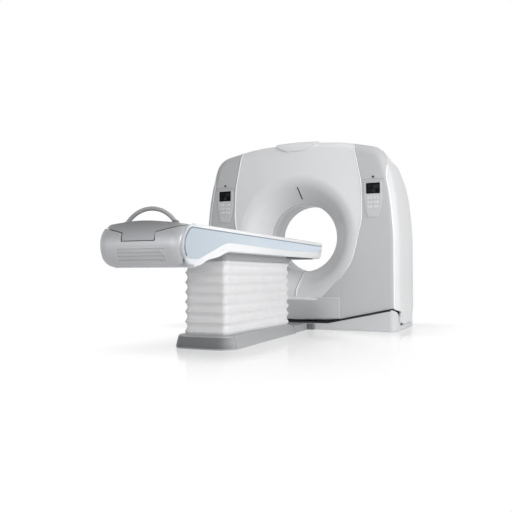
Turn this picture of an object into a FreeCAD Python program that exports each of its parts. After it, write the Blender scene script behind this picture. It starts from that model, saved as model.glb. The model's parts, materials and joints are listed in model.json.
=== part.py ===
import FreeCAD, Part
import Sketcher
import math
import os
import re

# A whole-body CT scanner: a gantry that tilts on two columns, a rotor that spins inside it,
# and a patient couch whose top is raised by a telescopic column inside a folded bellows.
#
# Frame: the origin is on the floor straight under the isocentre.  +Y runs from the couch into
# the bore, along the bore's axis.  +X is to the right for someone who looks along +Y.  +Z is up.
# Every length is in millimetres.

Vector = FreeCAD.Vector
X_AXIS = Vector(1, 0, 0)
Y_AXIS = Vector(0, 1, 0)
Z_AXIS = Vector(0, 0, 1)

doc = FreeCAD.newDocument("ct_scanner")
sheet = doc.addObject("Spreadsheet::Sheet", "Sizes")

SIZES = (
    # gantry, outside
    ("iso_height", 941, "floor to isocentre"),
    ("bore_radius", 360, "radius of the patient bore"),
    ("gantry_half_width", 1055, "centre to the side covers"),
    ("gantry_crown", 1914, "floor to the crown of the covers"),
    ("gantry_front", 420, "isocentre to the front face"),
    ("gantry_rear", 440, "isocentre to the rear face"),
    ("front_edge_radius", 90, "rounding round the front face"),
    ("rear_edge_radius", 130, "rounding round the rear face"),
    ("cover_wall", 10, "thickness of the moulded covers"),
    ("cover_gap", 0.5, "gap between neighbouring covers"),
    ("flank_top", 950, "floor to where the sides start to lean in"),
    ("shoulder_start", 1350, "floor to where the sides lean in more"),
    ("flank_lean", 35, "how far the sides have leaned in there"),
    ("flank_radius", 2500, "radius of the bends in the sides"),
    ("shoulder_inset", 138, "sides to the upper corners"),
    ("shoulder_drop", 112, "crown down to the upper corners"),
    ("shoulder_radius", 190, "rounding of the upper corners"),
    ("crown_half", 440, "half the width of the flat crown"),
    ("crown_drop", 20, "how far the crown has dropped there"),
    ("crown_side_radius", 1800, "radius of the bend there"),
    ("crown_radius", 3000, "radius of the middle of the crown"),
    ("throat_front", 145, "isocentre to the front end of the bore liner"),
    ("throat_rear", 190, "isocentre to the rear end of the bore liner"),
    ("front_funnel_slope", 0.71, "how fast the front funnel widens, radius over depth"),
    ("rear_funnel_slope", 0.576, "how fast the rear funnel widens, radius over depth"),
    ("front_rim_radius", 640, "where the front funnel meets the front face"),
    ("rear_rim_radius", 560, "where the rear funnel meets the rear face"),
    ("liner_wall", 6, "thickness of the bore liner"),
    ("window_width", 60, "width of the ray window in the bore liner"),
    ("lower_line", 85, "floor to the lowest edge of the tilting covers"),
    ("lower_flat", 350, "half the level stretch of that edge"),
    ("lower_rise", 222, "floor to that edge at its outer corners"),
    ("lower_corner_inset", 65, "sides to those outer corners"),
    ("skirt_drop", 32, "how far the edge drops again from there to the sides"),
    ("lower_recess", 80, "how far the lower centre cover leans in at its foot"),
    ("lower_half_width", 460, "half width of the lower centre cover"),
    ("rear_lower_half_width", 610, "half width of the leaning part of the rear cover"),
    ("ledge_height", 320, "floor to the ledge under the front funnel"),
    ("skirt_bottom", 62, "floor to the lowest edge of the side covers"),
    ("skirt_half", 255, "half the length of that edge along the bore"),
    ("skirt_slope", 45, "how far the side skirts widen towards their top"),
    ("skirt_radius", 40, "rounding of the corners of the side skirts"),
    ("skirt_lap", 14, "how far the skirts run up into the side covers"),
    # the outline of the centre cover, seen from the front
    ("seam_foot_half", 330, "half width of the centre cover at its foot"),
    ("seam_foot_drop", 549, "isocentre down to that foot"),
    ("seam_foot_radius", 60, "rounding of the foot"),
    ("seam_hip_half", 560, "half width of the centre cover at its hips"),
    ("seam_hip_drop", 301, "isocentre down to the hips"),
    ("seam_hip_radius", 420, "rounding of the hips"),
    ("seam_waist_half", 702, "half width of the centre cover at the bore"),
    ("seam_waist_rise", 179, "isocentre up to its widest point"),
    ("seam_chest_half", 690, "half width where the seam turns inward"),
    ("seam_chest_rise", 529, "isocentre up to that turn"),
    ("seam_side_radius", 700, "rounding of the two upper turns"),
    ("seam_crown_half", 600, "half width of the centre cover at the crown"),
    # cap on the crown
    ("cap_thickness", 16, "how far the crown cap stands proud"),
    ("cap_half_width", 226, "half width of the crown cap"),
    ("cap_drop", 30, "crown down to the lower edge of the cap"),
    ("cap_tab_half_width", 92, "half width of the tab on the cap"),
    ("cap_tab_drop", 96, "crown down to the tip of the tab"),
    ("cap_reach", 180, "isocentre to the rear end of the cap"),
    ("cap_tab_radius", 18, "rounding of the tab's corners"),
    ("cap_corner_radius", 60, "rounding where the tab meets the cap"),
    # base of the gantry
    ("base_front", 450, "isocentre to the front of the base covers"),
    ("base_rear", 470, "isocentre to the rear of the base covers"),
    ("base_half_width", 1030, "centre to the side of the base"),
    ("base_wall", 12, "thickness of the base covers"),
    ("base_corner_radius", 70, "rounding of the corners of the base covers"),
    ("base_wrap", 190, "how far the base covers wrap round the sides"),
    ("base_floor_gap", 4, "floor to the lower edge of the base covers"),
    ("tilt_gap", 14, "gap between the base covers and the tilting covers"),
    ("frame_inset", 20, "gap between the base covers and the side rails"),
    ("beam_inset", 0.3, "gap between the base covers and the cross beams"),
    ("rail_width", 120, "width of the side rails of the base"),
    ("rail_bottom", 15, "floor to the underside of the base frame"),
    ("rail_top", 78, "floor to the top of the side rails"),
    ("beam_top", 52, "floor to the top of the cross beams"),
    ("beam_depth", 50, "depth of the cross beams along the bore"),
    ("column_foot_half", 154, "half the length of the foot plates under the columns"),
    ("anchor_inset", 70, "sides of the base to the anchor bolts"),
    ("anchor_offset_y", 350, "isocentre to the anchor bolts"),
    ("anchor_hole", 22, "diameter of the anchor holes"),
    ("foot_radius", 38, "radius of the levelling feet"),
    ("cut_margin", 5, "how far a hole's cutter reaches past the piece"),
    # columns and pivot
    ("column_inner", 852, "centre to the inner face of a column"),
    ("column_share", 0.36, "thickness of a column, as a share of the room beside the frame"),
    ("column_depth", 110, "depth of a column along the bore"),
    ("housing_radius", 118, "radius of the bearing housing on a column"),
    ("pivot_radius", 45, "radius of the pivot pins"),
    ("pivot_bearing_radius", 85, "outer radius of the pivot bearings"),
    ("running_gap", 0.3, "gap between parts that turn on each other"),
    ("reducer_radius", 94, "radius of the reducer of the tilt drive"),
    ("reducer_share", 0.23, "length of that reducer, as a share of the same room"),
    ("motor_share", 0.185, "radius of the tilt motor, as a share of the same room"),
    ("motor_length", 300, "length of the tilt motor"),
    ("motor_drop", 330, "isocentre down to the lower end of the tilt motor"),
    # tilting frame and rotor
    ("frame_radius", 800, "outer radius of the tilting ring frame"),
    ("frame_front", 205, "isocentre plane to the front of the ring frame"),
    ("frame_thick", 40, "thickness of the ring frame"),
    ("frame_bore_gap", 6, "gap between the rotor hub and the ring frame"),
    ("arm_rotor_gap", 16, "gap between the rotor and the arms of the ring frame"),
    ("arm_column_gap", 12, "gap between those arms and the columns"),
    ("arm_front", 85, "isocentre to the front end of the arms"),
    ("arm_half_height", 110, "half the height of the arms"),
    ("arm_lap", 130, "how far the arms lap the ring"),
    ("pin_stop", 2, "how far the pivot pins end inside the columns"),
    ("bracket_inner", 680, "centre to the cover brackets"),
    ("bracket_width", 60, "width of a cover bracket"),
    ("bracket_tall", 40, "height of a cover bracket"),
    ("bracket_offset", 330, "isocentre to the cover brackets, up and down"),
    ("bearing_outer", 470, "outer radius of the main bearing"),
    ("bearing_width", 50, "width of the main bearing"),
    ("hub_radius", 404, "outer radius of the rotor hub"),
    ("hub_wall", 20, "thickness of the rotor hub"),
    ("hub_front", 60, "isocentre plane to the front end of the hub"),
    ("rotor_radius", 790, "outer radius of the rotor"),
    ("rotor_rim", 14, "thickness of the rotor rim"),
    ("rotor_front", 120, "isocentre plane to the front of the rotor rim"),
    ("rotor_plate_front", 66, "isocentre plane to the rotor plate"),
    ("rotor_plate", 36, "thickness of the rotor plate"),
    ("tube_orbit", 620, "isocentre to the middle of the x-ray tube"),
    ("tube_radius", 115, "radius of the x-ray tube housing"),
    ("tube_length", 150, "length of the x-ray tube housing"),
    ("tube_foot_half", 92, "half width of the tube's mounting plate"),
    ("tube_foot_thick", 30, "thickness of that plate"),
    ("collimator_height", 70, "height of the beam collimator"),
    ("collimator_top_half", 70, "half width of its upper face"),
    ("collimator_low_half", 110, "half width of its lower face"),
    ("collimator_front", 60, "isocentre plane to its front end"),
    ("collimator_gap", 2, "gap between the collimator and the tube"),
    ("detector_inner", 500, "isocentre to the detector face"),
    ("detector_depth", 120, "radial depth of the detector"),
    ("detector_half_angle", 27, "half the arc of the detector in degrees"),
    ("detector_front", 65, "isocentre plane to the front of the detector"),
    ("box_front", 100, "isocentre plane to the front of the boxes on the rotor"),
    ("box_hub_gap", 40, "gap between the hub and those boxes"),
    ("box_rim_gap", 6, "gap between the rim and those boxes"),
    ("slip_ring_gap", 20, "gap between the main bearing and the slip ring"),
    ("slip_ring_outer", 600, "outer radius of the slip ring"),
    ("slip_ring_width", 24, "width of the slip ring"),
    # control panels
    ("panel_centre_x", 806, "centre to the middle of a control panel"),
    ("display_height", 1393, "floor to the middle of a display"),
    ("display_width", 129, "width of a display"),
    ("display_tall", 98, "height of a display"),
    ("display_recess", 2, "how far a display lies behind its bezel"),
    ("lamp_height", 1508, "floor to the indicator lamp"),
    ("lamp_radius", 9, "radius of the indicator lamp"),
    ("lamp_proud", 3, "how far the indicator lamp stands out"),
    ("bezel_thick", 8, "thickness of the control panel bezel"),
    ("bezel_half_width", 88, "half width of the control panel bezel"),
    ("bezel_top", 1462, "floor to the top of the bezel"),
    ("bezel_hip", 1315, "floor to where the bezel starts to narrow"),
    ("bezel_waist", 1215, "floor to where it narrows faster"),
    ("bezel_waist_half", 79, "half width of the bezel there"),
    ("bezel_bottom", 1112, "floor to the bottom of the bezel"),
    ("bezel_foot_half", 48, "half width of the bezel at its bottom"),
    ("key_width", 46, "width of a key"),
    ("key_tall", 24, "height of a key"),
    ("key_corner", 9, "rounding of a key"),
    ("key_pitch_x", 64, "distance between the two columns of keys"),
    ("key_pitch_z", 44, "distance between the rows of keys"),
    ("key_top_row", 1300, "floor to the middle of the top row of keys"),
    ("key_proud", 4, "how far a key stands out of the bezel"),
    ("key_travel", 3, "travel of a key"),
    ("key_float", 0.5, "room left behind a pressed key"),
    ("key_gap", 0.6, "gap round a key"),
    # couch, fixed parts
    ("couch_base_half_width", 257, "half width of the couch base plate"),
    ("couch_base_foot", 2442, "isocentre to the foot end of the base plate"),
    ("couch_base_head", 960, "isocentre to the head end of the base plate"),
    ("couch_base_height", 100, "height of the base plate with its skirt"),
    ("couch_base_radius", 125, "corner radius of the base plate"),
    ("kerb_height", 45, "height of the upright part of its side"),
    ("skirt_lean", 24, "how far the skirt above it leans in"),
    ("couch_anchor_x", 182, "centre to the anchor bolts of the couch"),
    ("couch_anchor_foot", 2252, "isocentre to the bolts at the foot end"),
    ("couch_anchor_head", 1150, "isocentre to the bolts at the head end"),
    ("link_half_width", 200, "half width of the floor link cover"),
    ("link_height", 62, "height of the floor link cover"),
    ("link_bevel", 22, "width and height of its bevelled edges"),
    ("socket_width", 62, "width of the cable socket beside it"),
    ("socket_depth", 46, "depth of the cable socket"),
    ("column_y", 1745, "isocentre to the middle of the lift column"),
    ("lift_travel", 350, "stroke of the couch lift"),
    ("lift_floor", 30, "floor to the seat of the lift column in the base plate"),
    ("lift_half_width", 120, "half width of the outer lift tube"),
    ("lift_half_depth", 250, "half depth of the outer lift tube"),
    ("lift_wall", 10, "wall of the lift tubes"),
    ("lift_slide_gap", 0.3, "gap between the lift tubes"),
    ("lift_stage", 250, "length of each lift tube"),
    ("bellows_half_width", 215, "half width of the bellows over its ridges"),
    ("bellows_foot", 2372, "isocentre to the foot end of the bellows"),
    ("bellows_head", 1120, "isocentre to the head end of the bellows"),
    ("bellows_radius", 62, "corner radius of the bellows"),
    ("pleat_depth", 17, "depth of a pleat"),
    ("pleat_count", 8, "number of pleats"),
    ("bellows_wall", 4, "thickness of the bellows cloth"),
    # couch, lifted parts
    ("couch_half_width", 310, "half width of the couch housing"),
    ("couch_top", 863, "floor to the top edge of the couch housing"),
    ("couch_under", 702, "floor to the underside of the couch housing"),
    ("couch_low", 587, "floor to the lowest point at the foot end"),
    ("couch_head", 510, "isocentre to the head end of the couch"),
    ("couch_foot", 3150, "isocentre to the foot end of the housing's top edge"),
    ("foot_bulge", 52, "how far the housing swells out below that"),
    ("foot_bulge_drop", 133, "top edge down to the fullest point of that swell"),
    ("foot_bulge_radius", 250, "rounding of the swell"),
    ("belly_radius", 85, "rounding under the foot end"),
    ("belly_setback", 10, "how far the swell leans back towards the belly"),
    ("belly_length", 190, "length of the level belly at the foot end"),
    ("belly_rise", 560, "foot end to where the underside is level again"),
    ("belly_turn_radius", 150, "rounding where the belly starts to rise"),
    ("belly_end_radius", 330, "rounding where the rise ends"),
    ("nose_length", 300, "head end to where the underside rises again"),
    ("nose_rise", 52, "how far it rises to the head end"),
    ("nose_setback", 30, "how far the head end leans back there"),
    ("nose_forward", 12, "how far the head end leans out above that"),
    ("nose_radius", 55, "rounding under the head end"),
    ("nose_turn_radius", 260, "rounding where the underside rises"),
    ("lip_height", 40, "top edge down to the fullest point of the head end"),
    ("lip_radius", 26, "rounding of the head end"),
    ("housing_edge_radius", 12, "rounding along the long edges of the housing"),
    ("housing_wall", 12, "wall of the couch housing"),
    ("inset_depth", 8, "depth of the recess in the housing's side"),
    ("inset_recess", 3, "how far the side panel lies below the housing's face"),
    ("inset_band", 36, "band of the housing left above the recess"),
    ("inset_gap", 1, "gap round a side panel"),
    ("inset_foot", 2, "foot of the housing to the foot end of the recess"),
    ("inset_foot_height", 745, "floor to the fullest point of that end"),
    ("inset_low", 632, "floor to the lowest point of the recess"),
    ("inset_low_run", 70, "foot of the housing to that lowest point"),
    ("inset_rise_run", 640, "foot of the housing to where the recess is slim"),
    ("inset_slim", 738, "floor to the lower edge of the slim part"),
    ("inset_head", 28, "head end to the head end of the recess"),
    ("inset_tip_drop", 20, "upper edge of the recess down to its tip at the head end"),
    ("inset_foot_radius", 70, "rounding of the recess at the foot end"),
    ("inset_low_radius", 50, "rounding of its lowest corner, and of the corner above that"),
    ("inset_rise_radius", 500, "rounding where its lower edge levels out"),
    ("inset_turn_radius", 90, "rounding where its lower edge turns up"),
    ("inset_tip_radius", 8, "rounding of its tip at the head end"),
    ("inset_head_run", 145, "head end to where the lower edge turns up"),
    ("carriage_height", 46, "height of the lift carriage under the housing"),
    ("carriage_lip", 6, "how far the carriage covers the bellows' edge"),
    ("carriage_head_reach", 130, "how far the carriage widens at the head end"),
    ("carriage_foot_reach", 52, "how far the carriage widens at the foot end"),
    ("channel_half_width", 125, "half width of the deep middle of the channel"),
    ("channel_floor", 750, "floor to the bottom of the channel"),
    ("channel_knee", 803, "floor to the knee of the channel"),
    ("channel_edge_half_width", 290, "half width of the channel at the top"),
    ("channel_edge", 842, "floor to the outer edge of the channel slope"),
    ("slide_gap", 0.5, "gap between the table top and its channel"),
    ("cradle_gap", 4, "gap between the cradle and the channel slopes"),
    # foot cover
    ("foot_cover_length", 84, "length of the silver foot cover"),
    ("foot_cover_inset", 5, "how far it lies inside the housing's outline"),
    ("foot_plan_radius", 80, "plan rounding of the foot cover"),
    ("foot_low_radius", 100, "rounding of its lower corners"),
    ("foot_top_radius", 78, "rounding of its upper corners"),
    ("grille_rows", 4, "number of grooves in the foot cover"),
    ("grille_bottom", 629, "floor to the lowest groove"),
    ("grille_pitch", 22, "distance between the grooves"),
    ("groove_tall", 9, "height of a groove"),
    ("groove_depth", 4, "depth of a groove"),
    ("grille_left", 150, "centre to the left ends of the grooves"),
    ("grille_right", 190, "centre to the right ends of the grooves"),
    # table top
    ("board_thick", 20, "thickness of the cradle board"),
    ("board_edge_thick", 16, "thickness of the cradle board at its edges"),
    ("board_dish", 30, "how far the flat of the cradle stops inside the channel's middle"),
    ("board_head_reach", 6, "how far the cradle board passes the housing's head end"),
    ("keel_setback", 30, "how far the carriage under the board ends inside it"),
    ("keel_bevel", 12, "bevel of the carriage's upper edges"),
    ("end_cap_length", 260, "length of the end cap"),
    ("end_cap_crown", 886, "floor to the crown of the end cap"),
    ("end_cap_crown_radius", 1240, "radius of the middle of that crown"),
    ("end_cap_recess", 3, "how far the end cap lies behind the foot cover's face"),
    ("handle_plane", 3084, "isocentre to the plane of the arched handle"),
    ("handle_half_span", 190, "half span of the arched handle"),
    ("handle_rise", 80, "rise of the handle over the end cap"),
    ("handle_root", 6, "how far the handle's ends are let into the cap"),
    ("handle_radius", 14, "radius of the handle tube"),
)

for row, (alias, number, _) in enumerate(SIZES, start=1):
    sheet.set(f"A{row}", str(number))
    sheet.setAlias(f"A{row}", alias)
doc.recompute()

ALIASES = {alias for alias, _, _ in SIZES}


# ---------------------------------------------------------------- helpers


def value(expression):
    """The number that an expression of sheet names has now."""
    return float(sheet.evalExpression(str(expression)))


def on_sheet(expression):
    """The same expression as another object of the document has to write it."""
    return re.sub(r"[a-z][a-z_]+", lambda found: "Sizes." + found[0] if found[0] in ALIASES
                  else found[0], str(expression))


def bind(target, prop, expression):
    target.setExpression(prop, on_sheet(expression))


def place(target, x="0", y="0", z="0"):
    bind(target, ".Placement.Base.x", x)
    bind(target, ".Placement.Base.y", y)
    bind(target, ".Placement.Base.z", z)


def turned(target, axis, degrees):
    target.Placement = FreeCAD.Placement(target.Placement.Base, FreeCAD.Rotation(axis, degrees))


def box(name, low, high):
    """A block between two corners, each given as three expressions."""
    block = doc.addObject("Part::Box", name)
    for prop, start, end in zip(("Length", "Width", "Height"), low, high):
        bind(block, prop, f"({end}) - ({start})")
    place(block, *low)
    return block


def rod(name, radius, length, start, axis=Z_AXIS):
    """A cylinder from a start point along +X, +Y or +Z."""
    cylinder = doc.addObject("Part::Cylinder", name)
    bind(cylinder, "Radius", radius)
    bind(cylinder, "Height", length)
    if axis == X_AXIS:
        turned(cylinder, Y_AXIS, 90)
    if axis == Y_AXIS:
        turned(cylinder, X_AXIS, -90)
    place(cylinder, *start)
    return cylinder


def fused(name, *pieces):
    union = doc.addObject("Part::MultiFuse", name)
    union.Shapes = list(pieces)
    union.Refine = True
    return union


def cut(name, base, *tools):
    tool = tools[0] if len(tools) == 1 else fused(name + "_tools", *tools)
    result = doc.addObject("Part::Cut", name)
    result.Base = base
    result.Tool = tool
    return result


def solid_piece(name, shape):
    """A piece whose moulded form is worked out with Part's own functions."""
    piece = doc.addObject("Part::Feature", name)
    piece.Shape = shape
    return piece


def new_body(name):
    return doc.addObject("PartDesign::Body", name)


def sketch_on(body, role, offset="0"):
    """A sketch on one of the body's own planes, moved along the plane's normal."""
    sketch = body.newObject("Sketcher::SketchObject", body.Name + "_profile")
    plane = next(item for item in body.Origin.OriginFeatures if item.Role == role)
    sketch.AttachmentSupport = (plane, [""])
    sketch.MapMode = "FlatFace"
    bind(sketch, "AttachmentOffset.Base.z", offset)
    return sketch


def outline(sketch, corners):
    """A closed outline of straight lines; each corner is a pair of expressions."""
    points = [Vector(value(across), value(along), 0) for across, along in corners]
    first = sketch.GeometryCount
    count = len(points)
    for index, point in enumerate(points):
        sketch.addGeometry(Part.LineSegment(point, points[(index + 1) % count]), False)
    for index in range(count):
        after = first + (index + 1) % count
        sketch.addConstraint(Sketcher.Constraint("Coincident", first + index, 2, after, 1))
    for index, (pair, point) in enumerate(zip(corners, points)):
        for kind, expression, number in (("DistanceX", pair[0], point.x),
                                         ("DistanceY", pair[1], point.y)):
            held = Sketcher.Constraint(kind, -1, 1, first + index, 1, number)
            bind(sketch, f"Constraints[{sketch.addConstraint(held)}]", expression)


def ring(sketch, x, y, radius):
    """A circle whose centre and radius are expressions."""
    centre = Vector(value(x), value(y), 0)
    index = sketch.addGeometry(Part.Circle(centre, Z_AXIS, value(radius)), False)
    for kind, expression, number in (("DistanceX", x, centre.x), ("DistanceY", y, centre.y)):
        held = Sketcher.Constraint(kind, -1, 1, index, 3, number)
        bind(sketch, f"Constraints[{sketch.addConstraint(held)}]", expression)
    held = Sketcher.Constraint("Radius", index, value(radius))
    bind(sketch, f"Constraints[{sketch.addConstraint(held)}]", radius)


def mirrored_corners(half):
    """Corners of the +X half, from bottom to top, with their mirror image on the -X side."""
    return list(half) + [(f"-({x})", z) for x, z in reversed(half)]


def pad(body, sketch, length, kind="PartDesign::Pad"):
    feature = body.newObject(kind, body.Name + "_" + kind.split("::")[1].lower())
    feature.Profile = sketch
    bind(feature, "Length", length)
    return feature


def rounded_edges(body, radius, wanted):
    """Round the edges of the body so far for which wanted(edge) is true."""
    doc.recompute()
    base = body.Tip
    names = [f"Edge{number}" for number, edge in enumerate(base.Shape.Edges, start=1)
             if wanted(edge)]
    fillet = body.newObject("PartDesign::Fillet", body.Name + "_rounding")
    fillet.Base = (base, names)
    bind(fillet, "Radius", radius)
    return fillet


def runs_along(axis):
    """A test for straight edges that run along an axis."""
    def test(edge):
        return (edge.Curve.TypeId == "Part::GeomLine"
                and edge.tangentAt(edge.FirstParameter).cross(axis).Length < 1e-6)
    return test


def turned_ring(name, profile):
    """A ring about the bore's axis, turned from a profile of (y, radius) expressions."""
    body = new_body(name)
    sketch = sketch_on(body, "YZ_Plane")
    outline(sketch, [(y, f"iso_height + ({radius})") for y, radius in profile])
    axis_line = sketch.addGeometry(Part.LineSegment(Vector(-1, value("iso_height"), 0),
                                                    Vector(1, value("iso_height"), 0)), True)
    for end, along in ((1, -1), (2, 1)):
        sketch.addConstraint(Sketcher.Constraint("DistanceX", -1, 1, axis_line, end, along))
        held = Sketcher.Constraint("DistanceY", -1, 1, axis_line, end, value("iso_height"))
        bind(sketch, f"Constraints[{sketch.addConstraint(held)}]", "iso_height")
    turn = body.newObject("PartDesign::Revolution", name + "_turn")
    turn.Profile = sketch
    turn.ReferenceAxis = (sketch, ["Axis0"])
    turn.Angle = 360
    return body


def rounded_polygon(corners, plane):
    """A closed face from (u, v, radius) corners; each corner is an arc tangent to its sides."""
    count = len(corners)
    points = [Vector(u, v, 0) for u, v, _ in corners]
    starts, middles, ends = [], [], []
    for index, (_, _, radius) in enumerate(corners):
        here = points[index]
        back = (points[index - 1] - here).normalize()
        ahead = (points[(index + 1) % count] - here).normalize()
        if radius <= 0:
            starts.append(here)
            middles.append(None)
            ends.append(here)
            continue
        half = back.getAngle(ahead) / 2
        reach = radius / math.tan(half)
        inward = (back + ahead).normalize()
        starts.append(here + back * reach)
        ends.append(here + ahead * reach)
        middles.append(here + inward * (radius / math.sin(half) - radius))
    edges = []
    for index in range(count):
        if middles[index] is not None:
            edges.append(Part.Arc(plane(starts[index]), plane(middles[index]),
                                  plane(ends[index])).toShape())
        after = starts[(index + 1) % count]
        if ends[index].distanceToPoint(after) > 1e-6:
            edges.append(Part.LineSegment(plane(ends[index]), plane(after)).toShape())
    return Part.Face(Part.Wire(edges))


def front_view(y):
    """Points given as (x, z) lie in the upright plane at this y."""
    return lambda point: Vector(point.x, y, point.y)


def side_view(x):
    """Points given as (y, z) lie in the upright plane at this x."""
    return lambda point: Vector(x, point.x, point.y)


def top_view(z):
    """Points given as (x, y) lie in the level plane at this z."""
    return lambda point: Vector(point.x, point.y, z)


def both_sides(half, apex=()):
    """(u, v, radius) corners of the +u half, any corners at u = 0, and the mirror image."""
    return list(half) + list(apex) + [(-u, v, radius) for u, v, radius in reversed(half)]


def block(low, high):
    return Part.makeBox(high[0] - low[0], high[1] - low[1], high[2] - low[2], Vector(*low))


# A cutting form reaches past the part by OVERREACH, and a zone that is meant to have no end
# by FAR.
OVERREACH = 200.0
FAR = 4000.0


# ---------------------------------------------------------------- tilting covers


def lower_corners():
    """The outer corners of the tilting covers' lower edge, as (x, z) from the middle outward."""
    width = value("gantry_half_width")
    rise = value("lower_rise")
    return [(value("lower_flat"), value("lower_line")),
            (width - value("lower_corner_inset"), rise), (width, rise - value("skirt_drop"))]


def gantry_form(inset, lower_extra=0.0):
    """The closed outer form of the tilting covers, every face but the lower moved in by inset."""
    width = value("gantry_half_width") - inset
    crown = value("gantry_crown") - inset
    bend = value("flank_radius")
    half = [(min(x, width), z - lower_extra, 0) for x, z in lower_corners()]
    half[1] = (half[1][0] - inset, half[1][1], 0)
    half += [
        (width, value("flank_top"), bend),
        (width - value("flank_lean"), value("shoulder_start"), bend),
        (width - value("shoulder_inset"), crown - value("shoulder_drop"),
         value("shoulder_radius") - inset),
        (value("crown_half"), crown - value("crown_drop"), value("crown_side_radius")),
    ]
    apex = [(0, crown, value("crown_radius"))]
    face = rounded_polygon(both_sides(half, apex), front_view(-value("gantry_front") + inset))
    depth = value("gantry_front") + value("gantry_rear") - 2 * inset
    form = face.extrude(Y_AXIS * depth)
    lower_edge = value("lower_rise") - lower_extra
    for y, radius in ((-value("gantry_front") + inset, value("front_edge_radius")),
                      (value("gantry_rear") - inset, value("rear_edge_radius"))):
        rim = [edge for edge in form.Edges
               if abs(edge.BoundBox.YMin - y) < 0.01 and abs(edge.BoundBox.YMax - y) < 0.01
               and edge.BoundBox.ZMax > lower_edge + 1]
        form = form.makeFillet(radius - inset, rim)
    return form


def lower_wedge(front, inset, half_width):
    """What is taken off under the ledge, so that the covers clear the floor as they tilt."""
    face_y = (-value("gantry_front") if front else value("gantry_rear"))
    inward = 1 if front else -1
    ledge = value("ledge_height")
    low = value("lower_line") - OVERREACH
    lean = value("lower_recess") * (ledge - low) / (ledge - value("lower_line"))
    far = face_y - inward * OVERREACH
    corners = [(far, ledge, 0), (face_y + inward * inset, ledge, 0),
               (face_y + inward * (inset + lean), low, 0), (far, low, 0)]
    face = rounded_polygon(corners, side_view(-half_width))
    return face.extrude(X_AXIS * 2 * half_width)


def funnel_skin(front):
    """A funnel as a turned skin: a straight run from the throat, and a rounding to the face."""
    side = "front" if front else "rear"
    sign = -1 if front else 1
    throat = value(f"throat_{side}")
    face = value(f"gantry_{side}")
    rim = value(f"{side}_rim_radius")
    slope = value(f"{side}_funnel_slope")
    wall = value("cover_wall")
    iso = value("iso_height")
    lean = math.atan(slope)
    turn = math.pi / 2 - lean
    rounding = (rim - value("bore_radius") - slope * (face - throat)) / math.tan(turn / 2)

    def spot(depth, radius):
        return Vector(0, sign * depth, iso + radius)

    def on_rounding(share, inward):
        """A point of the rounding: share 0 lies at the rim, 1 where the straight run starts."""
        reach = rounding - inward
        return spot(face - rounding + reach * math.cos(turn * share),
                    rim - reach * math.sin(turn * share))

    skin = [on_rounding(share, 0) for share in (1, 0.5, 0)]
    back = [on_rounding(share, wall) for share in (0, 0.5, 1)]
    throat_edge = spot(throat, value("bore_radius"))
    throat_back = spot(throat, value("bore_radius") + wall / math.cos(lean))
    edges = [
        Part.LineSegment(throat_edge, skin[0]).toShape(),
        Part.Arc(*skin).toShape(),
        Part.LineSegment(skin[2], back[0]).toShape(),
        Part.Arc(*back).toShape(),
        Part.LineSegment(back[2], throat_back).toShape(),
        Part.LineSegment(throat_back, throat_edge).toShape(),
    ]
    return Part.Face(Part.Wire(edges)).revolve(Vector(0, 0, iso), Y_AXIS, 360)


def bore_plug(radius):
    reach = value("gantry_front") + value("gantry_rear") + OVERREACH
    return Part.makeCylinder(radius, reach, Vector(0, -reach / 2, value("iso_height")), Y_AXIS)


def centre_seam(grow):
    """Front view outline of the centre cover: a circle below, a wide waist and a narrow top."""
    iso = value("iso_height")
    crown_half = value("seam_crown_half") + grow
    corners = [
        (value("seam_foot_half"), iso - value("seam_foot_drop") - grow, value("seam_foot_radius")),
        (value("seam_hip_half") + grow, iso - value("seam_hip_drop"), value("seam_hip_radius")),
        (value("seam_waist_half") + grow, iso + value("seam_waist_rise"),
         value("seam_side_radius")),
        (value("seam_chest_half") + grow, iso + value("seam_chest_rise"),
         value("seam_side_radius")),
        (crown_half, value("gantry_crown"), 0),
        (crown_half, value("gantry_crown") + OVERREACH, 0),
    ]
    return rounded_polygon(both_sides(corners), front_view(-value("gantry_front") - OVERREACH))


wall_now = value("cover_wall")
gap = value("cover_gap")
front_half = value("lower_half_width")
rear_half = value("rear_lower_half_width")
cover_shell = gantry_form(0).cut(lower_wedge(True, 0, front_half))
cover_shell = cover_shell.cut(lower_wedge(False, 0, rear_half))
cavity = gantry_form(wall_now, OVERREACH).cut(lower_wedge(True, wall_now, front_half + wall_now))
cavity = cavity.cut(lower_wedge(False, wall_now, rear_half + wall_now))
cover_shell = cover_shell.cut(cavity)

front_line = -value("gantry_front") + value("front_edge_radius")
rear_line = value("gantry_rear") - value("rear_edge_radius")
front_zone = block((-FAR, -FAR, -FAR), (FAR, front_line, FAR))
middle_zone = block((-FAR, front_line + gap, -FAR), (FAR, rear_line - gap, FAR))
rear_zone = block((-FAR, rear_line, -FAR), (FAR, FAR, FAR))

front_shell = cover_shell.common(front_zone)
seam_depth = value("front_edge_radius") + 2 * OVERREACH
seam_prism = centre_seam(0).extrude(Y_AXIS * seam_depth)
seam_grown = centre_seam(gap).extrude(Y_AXIS * seam_depth)

rim_radius = value("front_rim_radius")
centre_plate = front_shell.common(seam_prism).cut(bore_plug(rim_radius))
front_center_cover = solid_piece("front_center_cover",
                                 centre_plate.fuse(funnel_skin(True)).removeSplitter())

side_shell = front_shell.cut(seam_grown).cut(bore_plug(rim_radius + gap))
lower_zone = block((-front_half, -FAR, -FAR), (front_half, FAR, value("iso_height")))
lower_front_cover = solid_piece("lower_front_cover", side_shell.common(lower_zone))
cheek_zone = block((-front_half - gap, -FAR, -FAR), (front_half + gap, FAR, value("iso_height")))
cheeks = side_shell.cut(cheek_zone)
left_front_panel = solid_piece("left_front_panel",
                               cheeks.common(block((-FAR, -FAR, -FAR), (0, FAR, FAR))))
right_front_panel = solid_piece("right_front_panel",
                                cheeks.common(block((0, -FAR, -FAR), (FAR, FAR, FAR))))

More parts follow.
